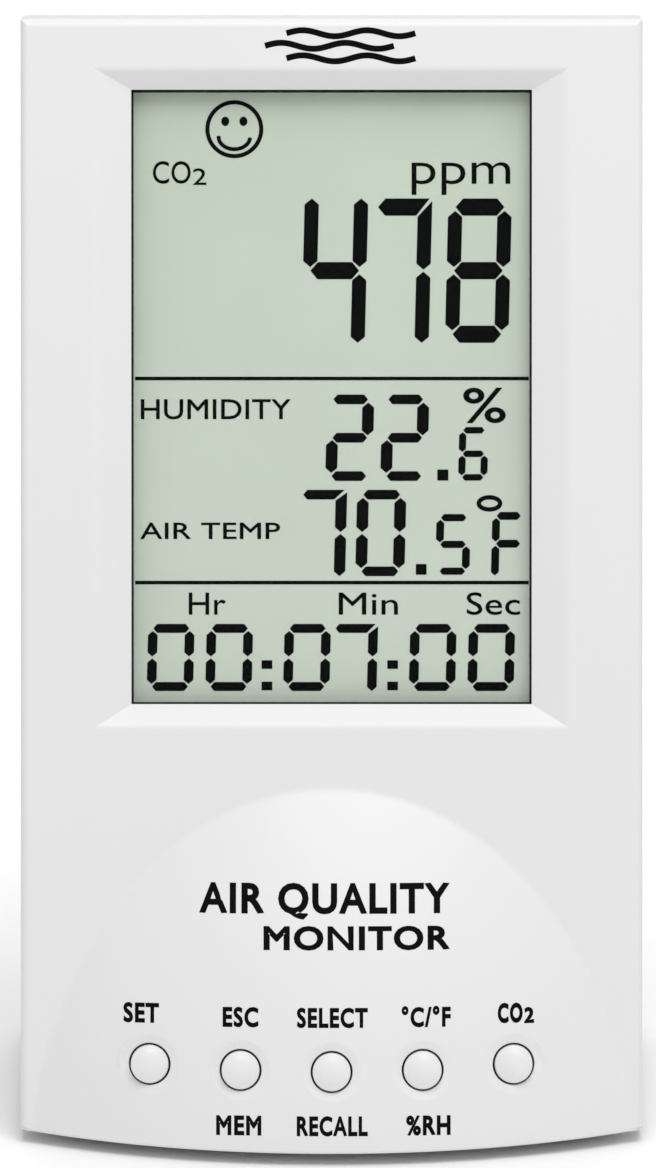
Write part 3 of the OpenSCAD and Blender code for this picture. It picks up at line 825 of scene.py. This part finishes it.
def screw_tree(finish):
    """A tree that puts a screw on every point of a mesh."""
    tree = bpy.data.node_groups.new("screw_set", "GeometryNodeTree")
    g = Graph(tree)
    kinds = {"Geometry": "Geometry", "Direction": "Vector", **dict.fromkeys(SCREW_SIZES, "Float")}
    for name, kind in kinds.items():
        tree.interface.new_socket(name, in_out="INPUT", socket_type="NodeSocket" + kind)
    tree.interface.new_socket("Geometry", in_out="OUTPUT", socket_type="NodeSocketGeometry")
    given = tree.nodes.new("NodeGroupInput")
    size = {socket.name: Wire(g, socket) for socket in given.outputs}
    parts = [screw_head(g, size)] + screw_shank(g, size)
    screw = g.node("GeometryNodeJoinGeometry", inputs={0: parts})
    turn = g.node("FunctionNodeAlignRotationToVector", {"axis": "Z"}, {"Vector": size["Direction"]})
    placed = g.node("GeometryNodeInstanceOnPoints", inputs={
        "Points": size["Geometry"], "Instance": screw, "Rotation": turn})
    real = g.node("GeometryNodeRealizeInstances", inputs={0: placed})
    done = g.node("GeometryNodeSetMaterial", inputs={"Geometry": real, "Material": finish})
    result = tree.nodes.new("NodeGroupOutput")
    g.feed(result.inputs[0], done)
    return tree


def make_screws(finish):
    """The screws, in place of the plain ones of each CAD node."""
    tree = screw_tree(finish)
    sockets = {item.name: item.identifier for item in tree.interface.items_tree
               if item.in_out == "INPUT"}
    for node, way in SCREW_NODES.items():
        measured = [measure_screw(island, way) for island in islands(node)]
        points = bpy.data.meshes.new("screw_points")
        points.from_pydata([tuple(place) for place, _ in measured], [], [])
        holder = put("screw_points", points)
        modifier = holder.modifiers.new("screws", "NODES")
        modifier.node_group = tree
        modifier[sockets["Direction"]] = tuple(way)
        for name, value in zip(SCREW_SIZES, measured[0][1]):
            modifier[sockets[name]] = value
        bpy.context.view_layer.update()
        graph = bpy.context.evaluated_depsgraph_get()
        mesh = bpy.data.meshes.new_from_object(holder.evaluated_get(graph))
        mesh.name = node + "_cross"
        bpy.data.objects.remove(holder)
        shade_smooth(mesh, SCREW_CRISP)
        add_piece(mesh, "monitor", "plated_steel", finish, node)


# ---- the keys ----

KEY_R = 2.65
KEY_PROUD = 1.2
KEY_BALL = 5
KEY_SHOULDER = 0.4
FLANGE_R = 4
FLANGE_N = (1.9, 1)
STEM_R = 1.6
SOFT = 0.15
KEY_CRISP = 40


def key_profile(top, bottom):
    """The turned outline of a key, from the crown of its cap to the foot of its stem."""
    profile = []
    reach = KEY_R - KEY_SHOULDER * 0.8
    for i in range(9):
        r = reach * i / 8
        profile.append((r, top - KEY_BALL + math.sqrt(KEY_BALL ** 2 - r * r)))
    low = profile[-1][1]
    for turn in quarter(EDGE_STEPS)[1:]:
        side = reach + (KEY_R - reach) * math.sin(turn)
        profile.append((side, low - KEY_SHOULDER * (1 - math.cos(turn))))
    upper, lower = FLANGE_N
    profile += [(KEY_R, upper + 0.1), (KEY_R + 0.1, upper), (FLANGE_R - SOFT, upper),
                (FLANGE_R, upper - SOFT), (FLANGE_R, lower + SOFT), (FLANGE_R - SOFT, lower),
                (STEM_R + SOFT, lower), (STEM_R, lower - SOFT), (STEM_R, bottom + 0.1),
                (STEM_R - 0.1, bottom), (0, bottom)]
    return profile


def make_keys(finish):
    """The five push keys, each on its own body."""
    for name, at in zip(KEYS, KEY_AT):
        foot = face_extent("button_" + name)[0].z
        form = Form()
        form.lathe(key_profile(dome(*at) + KEY_PROUD, foot), at, KEY_SIDES)
        mesh = mesh_from("key_cap_" + name, form)
        shade_smooth(mesh, KEY_CRISP)
        add_piece(mesh, "key_" + name, "key_plastic", finish, "button_" + name)


# ---- lettering ----

LETTER_GAP = 3.3


def letter_loops(text, weight=0.0):
    """The outlines of a word in the built-in plain type at size 1, made heavier by weight."""
    curve = bpy.data.curves.new("word", "FONT")
    curve.body = text
    curve.size = 1
    curve.space_character = 1 + LETTER_GAP * max(weight, 0)
    curve.fill_mode = "NONE"
    curve.resolution_u = 4
    word = put("word", curve)
    bpy.context.view_layer.update()
    mesh = bpy.data.meshes.new_from_object(word)
    places = [Vector((v.co.x, v.co.y)) for v in mesh.vertices]
    joined = set(mesh.edge_keys)
    starts = [0] + [i + 1 for i in range(len(places)) if (i, i + 1) not in joined]
    for data, kept in ((word, bpy.data.objects), (curve, bpy.data.curves), (mesh, bpy.data.meshes)):
        kept.remove(data)
    return [heavier(places[a:b], weight) for a, b in zip(starts, starts[1:]) if b - a > 2]


def heavier(loop, weight):
    """A letter's outline pushed outwards, with its sharp corners held back."""
    pushed = []
    for i, place in enumerate(loop):
        before = (place - loop[i - 1]).normalized()
        after = (loop[(i + 1) % len(loop)] - place).normalized()
        sides = [Vector((-way.y, way.x)) for way in (before, after)]
        corner = sides[0] + sides[1]
        reach = min(2 / max(corner.length_squared, 0.01), 1.2)
        pushed.append(place - corner * reach * weight)
    return pushed


def letter_height(letter, weight):
    """The height of one letter at size 1."""
    ups = [p.y for loop in letter_loops(letter, weight) for p in loop]
    return max(ups) - min(ups)


def add_word(form, text, x0, x1, baseline, height, low, high, weight=0.0, like="H"):
    """Adds a word that runs from x0 to x1, with letters such as like of that height."""
    loops = letter_loops(text, weight)
    across = [p.x for loop in loops for p in loop]
    wide = (x1 - x0) / (max(across) - min(across))
    tall = height / letter_height(like, weight)
    left = min(across)
    placed = [
        [(x0 + (p.x - left) * wide, baseline + (p.y + abs(weight)) * tall) for p in loop]
        for loop in loops
    ]
    form.solid(placed, low, high)


LABEL_CAP = 2.75
# Each label's middle and width, and the height of its middle over the case's base.
LABELS = [
    ("SET", -26.6, 5, 17.1), ("ESC", -12.7, 5, 16.75), ("SELECT", 0.1, 9.9, 16.7),
    ("°C/°F", 13.2, 6.85, 16.75), ("MEM", -12.95, 6.3, 1.75), ("RECALL", 0.1, 9.9, 1.7),
    ("%RH", 13.5, 6.2, 1.75),
]
LABEL_WEIGHT = 0.04
# Each of the other words' ends, baseline, height and added weight.
TITLES = [
    ("CO", 23.2, 26.7, 17.1 - LABEL_CAP / 2, LABEL_CAP, 0.052),
    ("2", 26.9, 28.3, 17.0 - LABEL_CAP / 2, 2.2, 0.052),
    ("AIR QUALITY", -18.5, 16.5, 31.0, 4.2, 0.034), ("MONITOR", -9.5, 16.5, 26.0, 3.3, 0.034),
]
INK = (-0.05, 0.025)
WAVES = ((-6.3, 153.75), (-9.3, 152.0), (-6.3, 150.25))
WAVE_LONG = 18
WAVE_HIGH = 0.42
WAVE_LINE = 0.84


def make_labels(finish):
    """The printed words over and under the keys, and the title under the display."""
    form = Form(face_height)
    words = [(text, x - w / 2, x + w / 2, v - LABEL_CAP / 2, LABEL_CAP, LABEL_WEIGHT)
             for text, x, w, v in LABELS]
    for text, x0, x1, baseline, height, weight in words + TITLES:
        add_word(form, text, x0, x1, baseline, height, *INK, weight)
    add_print("panel_print", form, finish)


def make_emblem(finish):
    """Three waves of air, printed over the display."""
    form = Form(face_height)
    for left, middle in WAVES:
        line = []
        for i in range(41):
            share = i / 40
            wave = WAVE_HIGH * math.sin(share * 4 * math.pi)
            line.append((left + WAVE_LONG * share, middle + wave))
        form.stroke(line, WAVE_LINE, *INK)
    add_print("air_emblem", form, finish)


# ---- marks on the display ----

LIT = {
    "0": "abcdef", "2": "abged", "4": "fgbc", "5": "afgcd", "6": "afgedc", "7": "abc",
    "8": "abcdefg", "F": "aefg",
}
BAR_GAP = 0.1
MARK = (-0.02, 0.035)
MARK_SLANT = math.tan(math.radians(1.4))


def bar_outline(start, end, thick):
    """A segment between two places, upright or level, with pointed ends."""
    a, b = Vector(start), Vector(end)
    way = (b - a).normalized()
    side = Vector((-way.y, way.x)) * thick / 2
    tip = way * thick * 0.42
    places = [a, a + tip + side, b - tip + side, b, b - tip - side, a + tip - side]
    return [tuple(p) for p in places]


def digit_bars(lit, width, height, thick):
    """The ends and the thickness of each segment of a digit."""
    upright, level = thick
    inset = upright * 0.47 + BAR_GAP
    mid = height / 2
    bars = {}
    for name, up in (("a", height - level / 2), ("g", mid), ("d", level / 2)):
        bars[name] = ((inset, up), (width - inset, up), level)
    drop = level / 2 + upright * 0.27
    shy = BAR_GAP + (level * 0.17 if "g" in lit else BAR_GAP * 0.4)
    for name, across in (("f", upright / 2), ("b", width - upright / 2)):
        top = height - drop if "a" in lit else height
        bars[name] = ((across, top), (across, mid + shy), upright)
    for name, across in (("e", upright / 2), ("c", width - upright / 2)):
        foot = drop if "d" in lit else 0
        bars[name] = ((across, foot), (across, mid - shy), upright)
    return bars


def seven_corner(bars, width, height, thick):
    """The top and right segments of a seven, which meet in a mitre."""
    upright, level = thick
    flat = bar_outline(*bars["a"])
    down = bar_outline(*bars["b"])
    under = height - level
    top = flat[:2] + [(width - 0.35, height), (width - upright - 0.2, under), flat[5]]
    right = [(width, height - 0.35), (width, down[2][1]), down[3], down[4],
             (width - upright, under - 0.15)]
    return {"a": top, "b": right}


def add_digit(form, char, x, v, width, height, thick):
    """Adds a lit digit whose lower left corner is at (x, v); thick is (upright, level)."""
    bars = digit_bars(LIT[char], width, height, thick)
    outlines = {name: bar_outline(*bars[name]) for name in LIT[char]}
    if char == "7":
        outlines.update(seven_corner(bars, width, height, thick))
    for outline in outlines.values():
        form.prism([(x + px + py * MARK_SLANT, v + py) for px, py in outline], *MARK)


# Each word's ends and baseline from the window's middle, its height and added weight.
WORDS = [
    ("CO", -25.0, -19.7, 29.8, 3.1, 0.006, "H"), ("2", -19.4, -17.5, 29.6, 2.3, 0.004, "H"),
    ("ppm", 11.2, 25.0, 29.7, 3.0, -0.004, "x"), ("HUMIDITY", -26.7, -5.7, -3.2, 2.8, 0.008, "H"),
    ("AIR TEMP", -26.8, -7.2, -20.0, 2.3, 0.008, "H"), ("%", 18.4, 24.4, -3.7, 5.0, 0.01, "%"),
    ("Hr", -20.0, -14.8, -30.6, 3.1, 0.004, "H"), ("Min", 1.0, 9.3, -30.6, 3.1, 0.002, "H"),
    ("Sec", 18.9, 26.4, -30.6, 3.1, 0.004, "H"),
]
# Each digit's lower left corner from the window's middle, its size and its strokes.
DIGITS = [
    ("4", -4.25, 7.5, 8.9, 20.2, (2.0, 2.4)), ("7", 5.0, 7.5, 8.6, 20.2, (2.0, 2.4)),
    ("8", 15.85, 7.5, 8.9, 20.2, (2.0, 2.4)),
    ("2", -0.9, -11.85, 6.6, 12.1, (1.65, 1.35)), ("2", 6.8, -11.85, 6.6, 12.1, (1.65, 1.35)),
    ("6", 17.7, -11.8, 4.1, 7.5, (1.0, 0.9)),
    ("7", -5.1, -25.2, 7.0, 12.1, (1.6, 1.35)), ("0", 3.3, -25.2, 6.9, 12.1, (1.65, 1.35)),
    ("5", 14.5, -25.0, 4.8, 8.5, (1.1, 1.0)), ("F", 22.3, -25.1, 4.6, 8.9, (1.1, 1.1)),
    ("7", -0.4, -41.3, 6.7, 9.4, (1.35, 1.25)),
] + [("0", x, -41.3, 6.5, 9.4, (1.35, 1.25)) for x in (-25.9, -17.7, -6.8, 10.8, 19.0)]
# Points, colons and dividing lines, as their lower left corner and their size.
BLOCKS = [
    (14.8, -11.8, 1.55, 1.55), (11.8, -25.0, 1.5, 1.5),
    (-27.5, 2.25, 55.1, 0.5), (-27.5, -26.35, 55.1, 0.5),
] + [(x, v, 1.5, 1.2) for x in (-9.8, 7.8) for v in (-41.2, -38.2)]
FACE_AT = (-13.6, 37.4)
FACE_R = 3.77
DEGREE_AT = (22.1, -15.0)
DEGREE_R = (1.5, 0.85)
DEGREE_LINE = 0.62


def add_face_icon(form, middle):
    """Adds the smiling face that stands for good air."""
    x, v = middle
    form.stroke(circle(middle, FACE_R, 48), 0.58, *MARK, closed=True)
    for side in (-1, 1):
        form.prism(oval((x + side * 1.27, v + 1.1), (0.56, 0.66), 20), *MARK)
    form.stroke(oval((x, v - 1.1), (2.2, 1.7), 20, 0.97 * math.pi, 2.04 * math.pi), 0.55, *MARK)


def make_display_marks(finish):
    """Everything that the display shows, as thin dark shapes in front of its film."""
    form = Form(lambda x, v: FILM_N)
    for text, x0, x1, baseline, height, weight, like in WORDS:
        add_word(form, text, x0, x1, WINDOW_V + baseline, height, *MARK, weight, like)
    for char, x, v, width, height, thick in DIGITS:
        add_digit(form, char, x, WINDOW_V + v, width, height, thick)
    for x, v, width, height in BLOCKS:
        low = WINDOW_V + v
        corners = [(x, low), (x + width, low), (x + width, low + height), (x, low + height)]
        form.prism(corners, *MARK)
    add_face_icon(form, (FACE_AT[0], WINDOW_V + FACE_AT[1]))
    ring = oval((DEGREE_AT[0], WINDOW_V + DEGREE_AT[1]), DEGREE_R, 28)
    form.stroke(ring, DEGREE_LINE, *MARK, closed=True)
    add_print("display_marks", form, finish)


# ---- materials ----


class Wire:
    """The output of a node. Sums on it add Math nodes."""

    def __init__(self, graph, socket):
        self.graph = graph
        self.socket = socket

    def sum(self, operation, first, second):
        """A Math node on two values."""
        return self.graph.node("ShaderNodeMath", {"operation": operation}, {0: first, 1: second})

    def __gt__(self, other):
        return self.sum("GREATER_THAN", self, other)


def give_operator(name, operation):
    """Lets a Wire stand on either side of an operator."""
    setattr(Wire, f"__{name}__", lambda wire, other: wire.sum(operation, wire, other))
    setattr(Wire, f"__r{name}__", lambda wire, other: wire.sum(operation, other, wire))


give_operator("add", "ADD")
give_operator("sub", "SUBTRACT")
give_operator("mul", "MULTIPLY")
give_operator("truediv", "DIVIDE")


class Graph:
    """A tree of nodes that is written as expressions."""

    def __init__(self, tree):
        self.tree = tree

    def node(self, kind, settings=None, inputs=None, output=0):
        """Any node: its settings are set first, then the values or links of its sockets."""
        made = self.tree.nodes.new(kind)
        for key, value in (settings or {}).items():
            setattr(made, key, value)
        for key, value in (inputs or {}).items():
            self.feed(made.inputs[key], value)
        return Wire(self, made.outputs[output])

    def feed(self, socket, value):
        """Links a wire, or each of several, to a socket, or sets its value."""
        if isinstance(value, Wire):
            self.tree.links.new(value.socket, socket)
        elif isinstance(value, list) and isinstance(value[0], Wire):
            for wire in value:
                self.tree.links.new(wire.socket, socket)
        else:
            socket.default_value = value


class Finish(Graph):
    """A material with one shader, whose fixed numbers are set on its own sockets."""

    def __init__(self, name, colour, roughness, **fixed):
        self.material = bpy.data.materials.new(name)
        self.material.use_nodes = True
        super().__init__(self.material.node_tree)
        self.shader = self.tree.nodes["Principled BSDF"]
        self.set("Base Color", (*colour, 1))
        self.set("Roughness", roughness)
        for key, value in fixed.items():
            self.set(key.replace("_", " ").title().replace("Ior", "IOR"), value)
        self.material.diffuse_color = (*colour, 1)
        self.at = self.node("ShaderNodeTexCoord", output="Object")

    def set(self, socket, value):
        """Sets or links a socket of the shader."""
        self.feed(self.shader.inputs[socket], value)

    def noise(self, size, detail=2.0, stretch=(1, 1, 1)):
        """Cloudy noise with features of that size in millimetres."""
        scale = [s / (size * MM) for s in stretch]
        place = self.node("ShaderNodeVectorMath", {"operation": "MULTIPLY"}, {0: self.at, 1: scale})
        inputs = {"Vector": place, "Scale": 1, "Detail": detail}
        return self.node("ShaderNodeTexNoise", {}, inputs, "Fac")

    def along(self, axis):
        """Distance along an axis, in millimetres from the origin."""
        dot = {"operation": "DOT_PRODUCT"}
        return self.node("ShaderNodeVectorMath", dot, {0: self.at, 1: axis / MM}, "Value")

    def mix(self, factor, first, second):
        """One colour turning into another."""
        ends = [c if isinstance(c, Wire) else (*c, 1) for c in (first, second)]
        inputs = {0: factor, 6: ends[0], 7: ends[1]}
        return self.node("ShaderNodeMix", {"data_type": "RGBA"}, inputs, 2)

    def ramp(self, value, low, high):
        """A value's place between two others, from 0 to 1."""
        inputs = {"Value": value, "From Min": low, "From Max": high}
        return self.node("ShaderNodeMapRange", {"clamp": True}, inputs)

    def relief(self, height, depth):
        """Bumps of that depth in millimetres on the shader's surface."""
        inputs = {"Distance": depth * MM, "Height": height}
        self.set("Normal", self.node("ShaderNodeBump", {}, inputs))


def scaled(colour, share):
    """A colour made darker or lighter."""
    return tuple(min(c * share, 1) for c in colour)


def moulded(name, colour, roughness, grain=0.3, depth=0.004, vary=0.02, **fixed):
    """Moulded plastic or rubber: a fine grain, and slow changes in tone and gloss."""
    f = Finish(name, colour, roughness, **fixed)
    cloud = f.noise(14, 3)
    f.set("Base Color", f.mix(cloud, scaled(colour, 1 - vary), scaled(colour, 1 + vary)))
    f.set("Roughness", cloud * 0.1 + (roughness - 0.05))
    f.relief(f.noise(grain, 3), depth)
    return f.material


def printed(name, colour, roughness):
    """Printed ink with an uneven, weak gloss."""
    f = Finish(name, colour, roughness, specular_ior_level=0.02)
    patch = f.noise(0.8, 2)
    f.set("Base Color", f.mix(patch, scaled(colour, 0.8), scaled(colour, 1.3)))
    f.set("Roughness", patch * 0.15 + (roughness - 0.07))
    f.relief(f.noise(0.12, 2), 0.001)
    return f.material


def metal(name, colour, roughness, stretch=(1, 1, 12)):
    """Plated metal with fine drawn lines."""
    f = Finish(name, colour, roughness, metallic=1.0)
    lines = f.noise(0.6, 3, stretch)
    f.set("Base Color", f.mix(f.noise(3), scaled(colour, 0.9), scaled(colour, 1.05)))
    f.set("Roughness", lines * 0.2 + (roughness - 0.1))
    f.relief(lines, 0.003)
    return f.material


def clear_window():
    """Clear acrylic with a faint haze of handling."""
    f = Finish("clear_window", (0.02, 0.025, 0.022), 0.04, specular_ior_level=0.2)
    haze = f.noise(18, 4)
    f.set("Alpha", haze * 0.03 + 0.045)
    f.set("Roughness", haze * 0.06 + 0.02)
    return f.material


def display_film():
    """The pale green film of the display, with painted shade that makes it a little darker towards
    its top.
    """
    # The second colour, high, is painted shade: the film darkens towards it from the window's
    # middle up to 35 mm above.
    low, high = (0.665, 0.755, 0.645), (0.63, 0.735, 0.605)
    f = Finish("display_film", low, 0.4)
    rise = f.along(UP_FACE) - to_origin(UP_FACE)
    # Painted shade: this ramp darkens the film towards the top of the window.
    painted_top_shade = f.ramp(rise, WINDOW_V, WINDOW_V + 35)
    speck = f.noise(0.25, 1)
    f.set("Base Color", f.mix(painted_top_shade * 0.9 + speck * 0.1, low, high))
    f.relief(speck, 0.001)
    return f.material


def to_origin(axis):
    """How far the face's foot lies along an axis, in millimetres."""
    return FOOT.dot(axis) / MM


def glass(name, colour):
    """A glass pane of the display's stack."""
    f = Finish(name, colour, 0.08, ior=1.5)
    f.set("Roughness", f.noise(9) * 0.06 + 0.05)
    f.set("Base Color", f.mix(f.noise(25), scaled(colour, 0.95), scaled(colour, 1.03)))
    return f.material


def foam():
    """Black foam with open cells."""
    f = Finish("black_foam", (0.012, 0.012, 0.012), 0.9)
    cells = f.node("ShaderNodeTexVoronoi", {}, {"Vector": f.at, "Scale": 3500}, "Distance")
    f.set("Base Color", f.mix(cells, (0.006, 0.006, 0.006), (0.03, 0.03, 0.03)))
    f.relief(cells, 0.05)
    return f.material


def circuit_board():
    """Green solder mask over copper tracks."""
    mask, track = (0.012, 0.10, 0.045), (0.03, 0.19, 0.08)
    f = Finish("circuit_board", mask, 0.3)
    brick = {"offset": 0.5, "squash": 2.0}
    sizes = {"Vector": f.at, "Scale": 260, "Mortar Size": 0.05, "Color1": (1, 1, 1, 1),
             "Color2": (1, 1, 1, 1), "Mortar": (0, 0, 0, 1)}
    lines = 1 - f.node("ShaderNodeTexBrick", brick, sizes, "Fac")
    broken = f.noise(7, 1) > 0.48
    copper = (1 - lines) * broken
    f.set("Base Color", f.mix(copper, mask, track))
    f.set("Roughness", f.noise(5) * 0.15 + 0.22)
    f.relief(copper + f.noise(0.4) * 0.1, 0.03)
    return f.material


def membrane():
    """White filter membrane, felted from fine fibres."""
    f = Finish("filter_membrane", (0.82, 0.82, 0.8), 0.85)
    fibre = f.noise(0.35, 5, (1, 3, 1))
    f.set("Base Color", f.mix(fibre, (0.7, 0.7, 0.68), (0.88, 0.88, 0.86)))
    f.relief(fibre, 0.06)
    return f.material


def ribbed_cable(name, colour):
    """The sheath of a flat cable, ribbed over its cores, with painted shade in the groove between
    each two and a painted highlight on the ribs.
    """
    f = Finish(name, colour, 0.45)
    inputs = {"Vector": f.at, "Scale": 250}
    rib_and_groove_shade = f.node("ShaderNodeTexWave", {"bands_direction": "X"}, inputs, "Fac")
    # Painted shade and highlight: the colour is darker in the grooves and lighter on the ribs,
    # along the same bands as the bumps.
    f.set("Base Color", f.mix(rib_and_groove_shade, scaled(colour, 0.6), scaled(colour, 1.1)))
    f.relief(rib_and_groove_shade, 0.12)
    return f.material


def floor_finish():
    """A pale floor with hardly any figure."""
    f = Finish("studio_floor", (0.93, 0.93, 0.93), 0.75)
    f.set("Base Color", f.mix(f.noise(60), (0.925, 0.925, 0.925), (0.94, 0.94, 0.94)))
    return f.material


def make_finishes():
    """Every material of the object, by the slot that it fills."""
    white = (0.735, 0.74, 0.735)
    dark = (0.012, 0.012, 0.013)
    return {
        "cover_plastic": moulded("cover_plastic", white, 0.42, vary=0.006),
        "key_plastic": moulded("key_plastic", (0.76, 0.765, 0.76), 0.34, 0.2, 0.002, 0.006),
        "clear_window": clear_window(),
        "black_foam": foam(),
        "lcd_film": display_film(),
        "lcd_glass": glass("lcd_glass", (0.6, 0.68, 0.6)),
        "holder_plastic": moulded("holder_plastic", (0.75, 0.75, 0.74), 0.5),
        "contact_rubber": ribbed_cable("contact_rubber", (0.55, 0.5, 0.52)),
        "circuit_board": circuit_board(),
        "plated_steel": metal("plated_steel", (0.66, 0.66, 0.67), 0.32),
        "chip_plastic": moulded("chip_plastic", dark, 0.45, 0.12, 0.01, 0.3),
        "capacitor_sleeve": moulded("capacitor_sleeve", (0.02, 0.03, 0.10), 0.28, 0.8, 0.01, 0.2),
        "chip_ceramic": moulded("chip_ceramic", (0.30, 0.20, 0.12), 0.4, 0.1, 0.01, 0.15),
        "black_plastic": moulded("black_plastic", dark, 0.4, 0.2, 0.006, 0.2),
        "connector_plastic": moulded("connector_plastic", (0.78, 0.74, 0.62), 0.42),
        "cable_sheath": ribbed_cable("cable_sheath", (0.5, 0.5, 0.5)),
        "red_sheath": ribbed_cable("red_sheath", (0.45, 0.02, 0.015)),
        "gold_plate": metal("gold_plate", (0.83, 0.60, 0.28), 0.3, (1, 1, 1)),
        "filter_membrane": membrane(),
        "lamp_glass": moulded("lamp_glass", (0.8, 0.8, 0.78), 0.15, 2, 0.002, 0.02),
        "sensor_plastic": moulded("sensor_plastic", (0.8, 0.8, 0.79), 0.4, 0.15, 0.01),
        "foot_rubber": moulded("foot_rubber", (0.02, 0.02, 0.021), 0.75, 0.25, 0.03, 0.25),
        "panel_ink": printed("panel_ink", (0.004, 0.004, 0.005), 0.5),
        "display_ink": printed("display_ink", (0.002, 0.002, 0.0025), 0.6),
    }


def dress_nodes(finishes):
    """Gives each carried-over node the finish of its slot."""
    for part in frame["record"]["subparts"]:
        for held in NODES[part["node"]].material_slots:
            held.material = finishes[part["material_slot"]]


# ---- the studio ----

VIEW_UP = math.radians(13)
VIEW_DISTANCE = 3.0
VIEW_HEIGHT = 0.1635
VIEW_CENTRE_UP = 0.07665
VIEW_CENTRE_X = -0.0005
FLOOR_HALF = 6
SKY_STRENGTH = 0.62


def make_camera():
    """The camera in front of the monitor, looking slightly down."""
    back = Vector((0, -math.cos(VIEW_UP), math.sin(VIEW_UP)))
    upright = Vector((0, math.sin(VIEW_UP), math.cos(VIEW_UP)))
    target = FOOT + upright * VIEW_CENTRE_UP + Vector((VIEW_CENTRE_X, 0, 0))
    data = bpy.data.cameras.new("camera")
    data.sensor_fit = "VERTICAL"
    data.lens = data.sensor_height * VIEW_DISTANCE / VIEW_HEIGHT
    camera = put("camera", data)
    camera.location = target + back * VIEW_DISTANCE
    camera.rotation_euler = (math.pi / 2 - VIEW_UP, 0, 0)
    bpy.context.scene.camera = camera


def make_light(name, place, aim, size, power, spread):
    """A soft square light that looks at aim, and spreads by that many degrees."""
    data = bpy.data.lights.new(name, "AREA")
    data.size = size
    data.spread = math.radians(spread)
    data.energy = power
    light = put(name, data)
    light.location = place
    towards = Vector(aim) - Vector(place)
    light.rotation_euler = towards.to_track_quat("-Z", "Y").to_euler()


def make_studio():
    """The floor, the lights and the even sky."""
    half = FLOOR_HALF
    mesh = bpy.data.meshes.new("studio_floor")
    corners = [(-half, -half, 0), (half, -half, 0), (half, half, 0), (-half, half, 0)]
    mesh.from_pydata(corners, [], [(0, 1, 2, 3)])
    mesh.materials.append(floor_finish())
    put("studio_floor", mesh)
    make_light("key_light", (0.09, -0.37, 0.72), (0, 0, 0.08), 0.5, 3.3, 180)
    make_light("floor_light", (0, 1.2, 1.3), (0, 1.3, 0), 1.0, 13, 95)
    world = bpy.data.worlds.new("studio_sky")
    world.use_nodes = True
    sky = world.node_tree.nodes["Background"].inputs
    sky["Color"].default_value = (1, 1, 1, 1)
    sky["Strength"].default_value = SKY_STRENGTH
    bpy.context.scene.world = world
    bpy.context.scene.view_settings.view_transform = "Standard"


# ---- the whole ----

finishes = make_finishes()
dress_nodes(finishes)
make_front_cover(finishes["cover_plastic"])
make_rear_cover(finishes["cover_plastic"])
make_keys(finishes["key_plastic"])
make_screws(finishes["plated_steel"])
make_labels(finishes["panel_ink"])
make_emblem(finishes["panel_ink"])
make_display_marks(finishes["display_ink"])
make_studio()
make_camera()
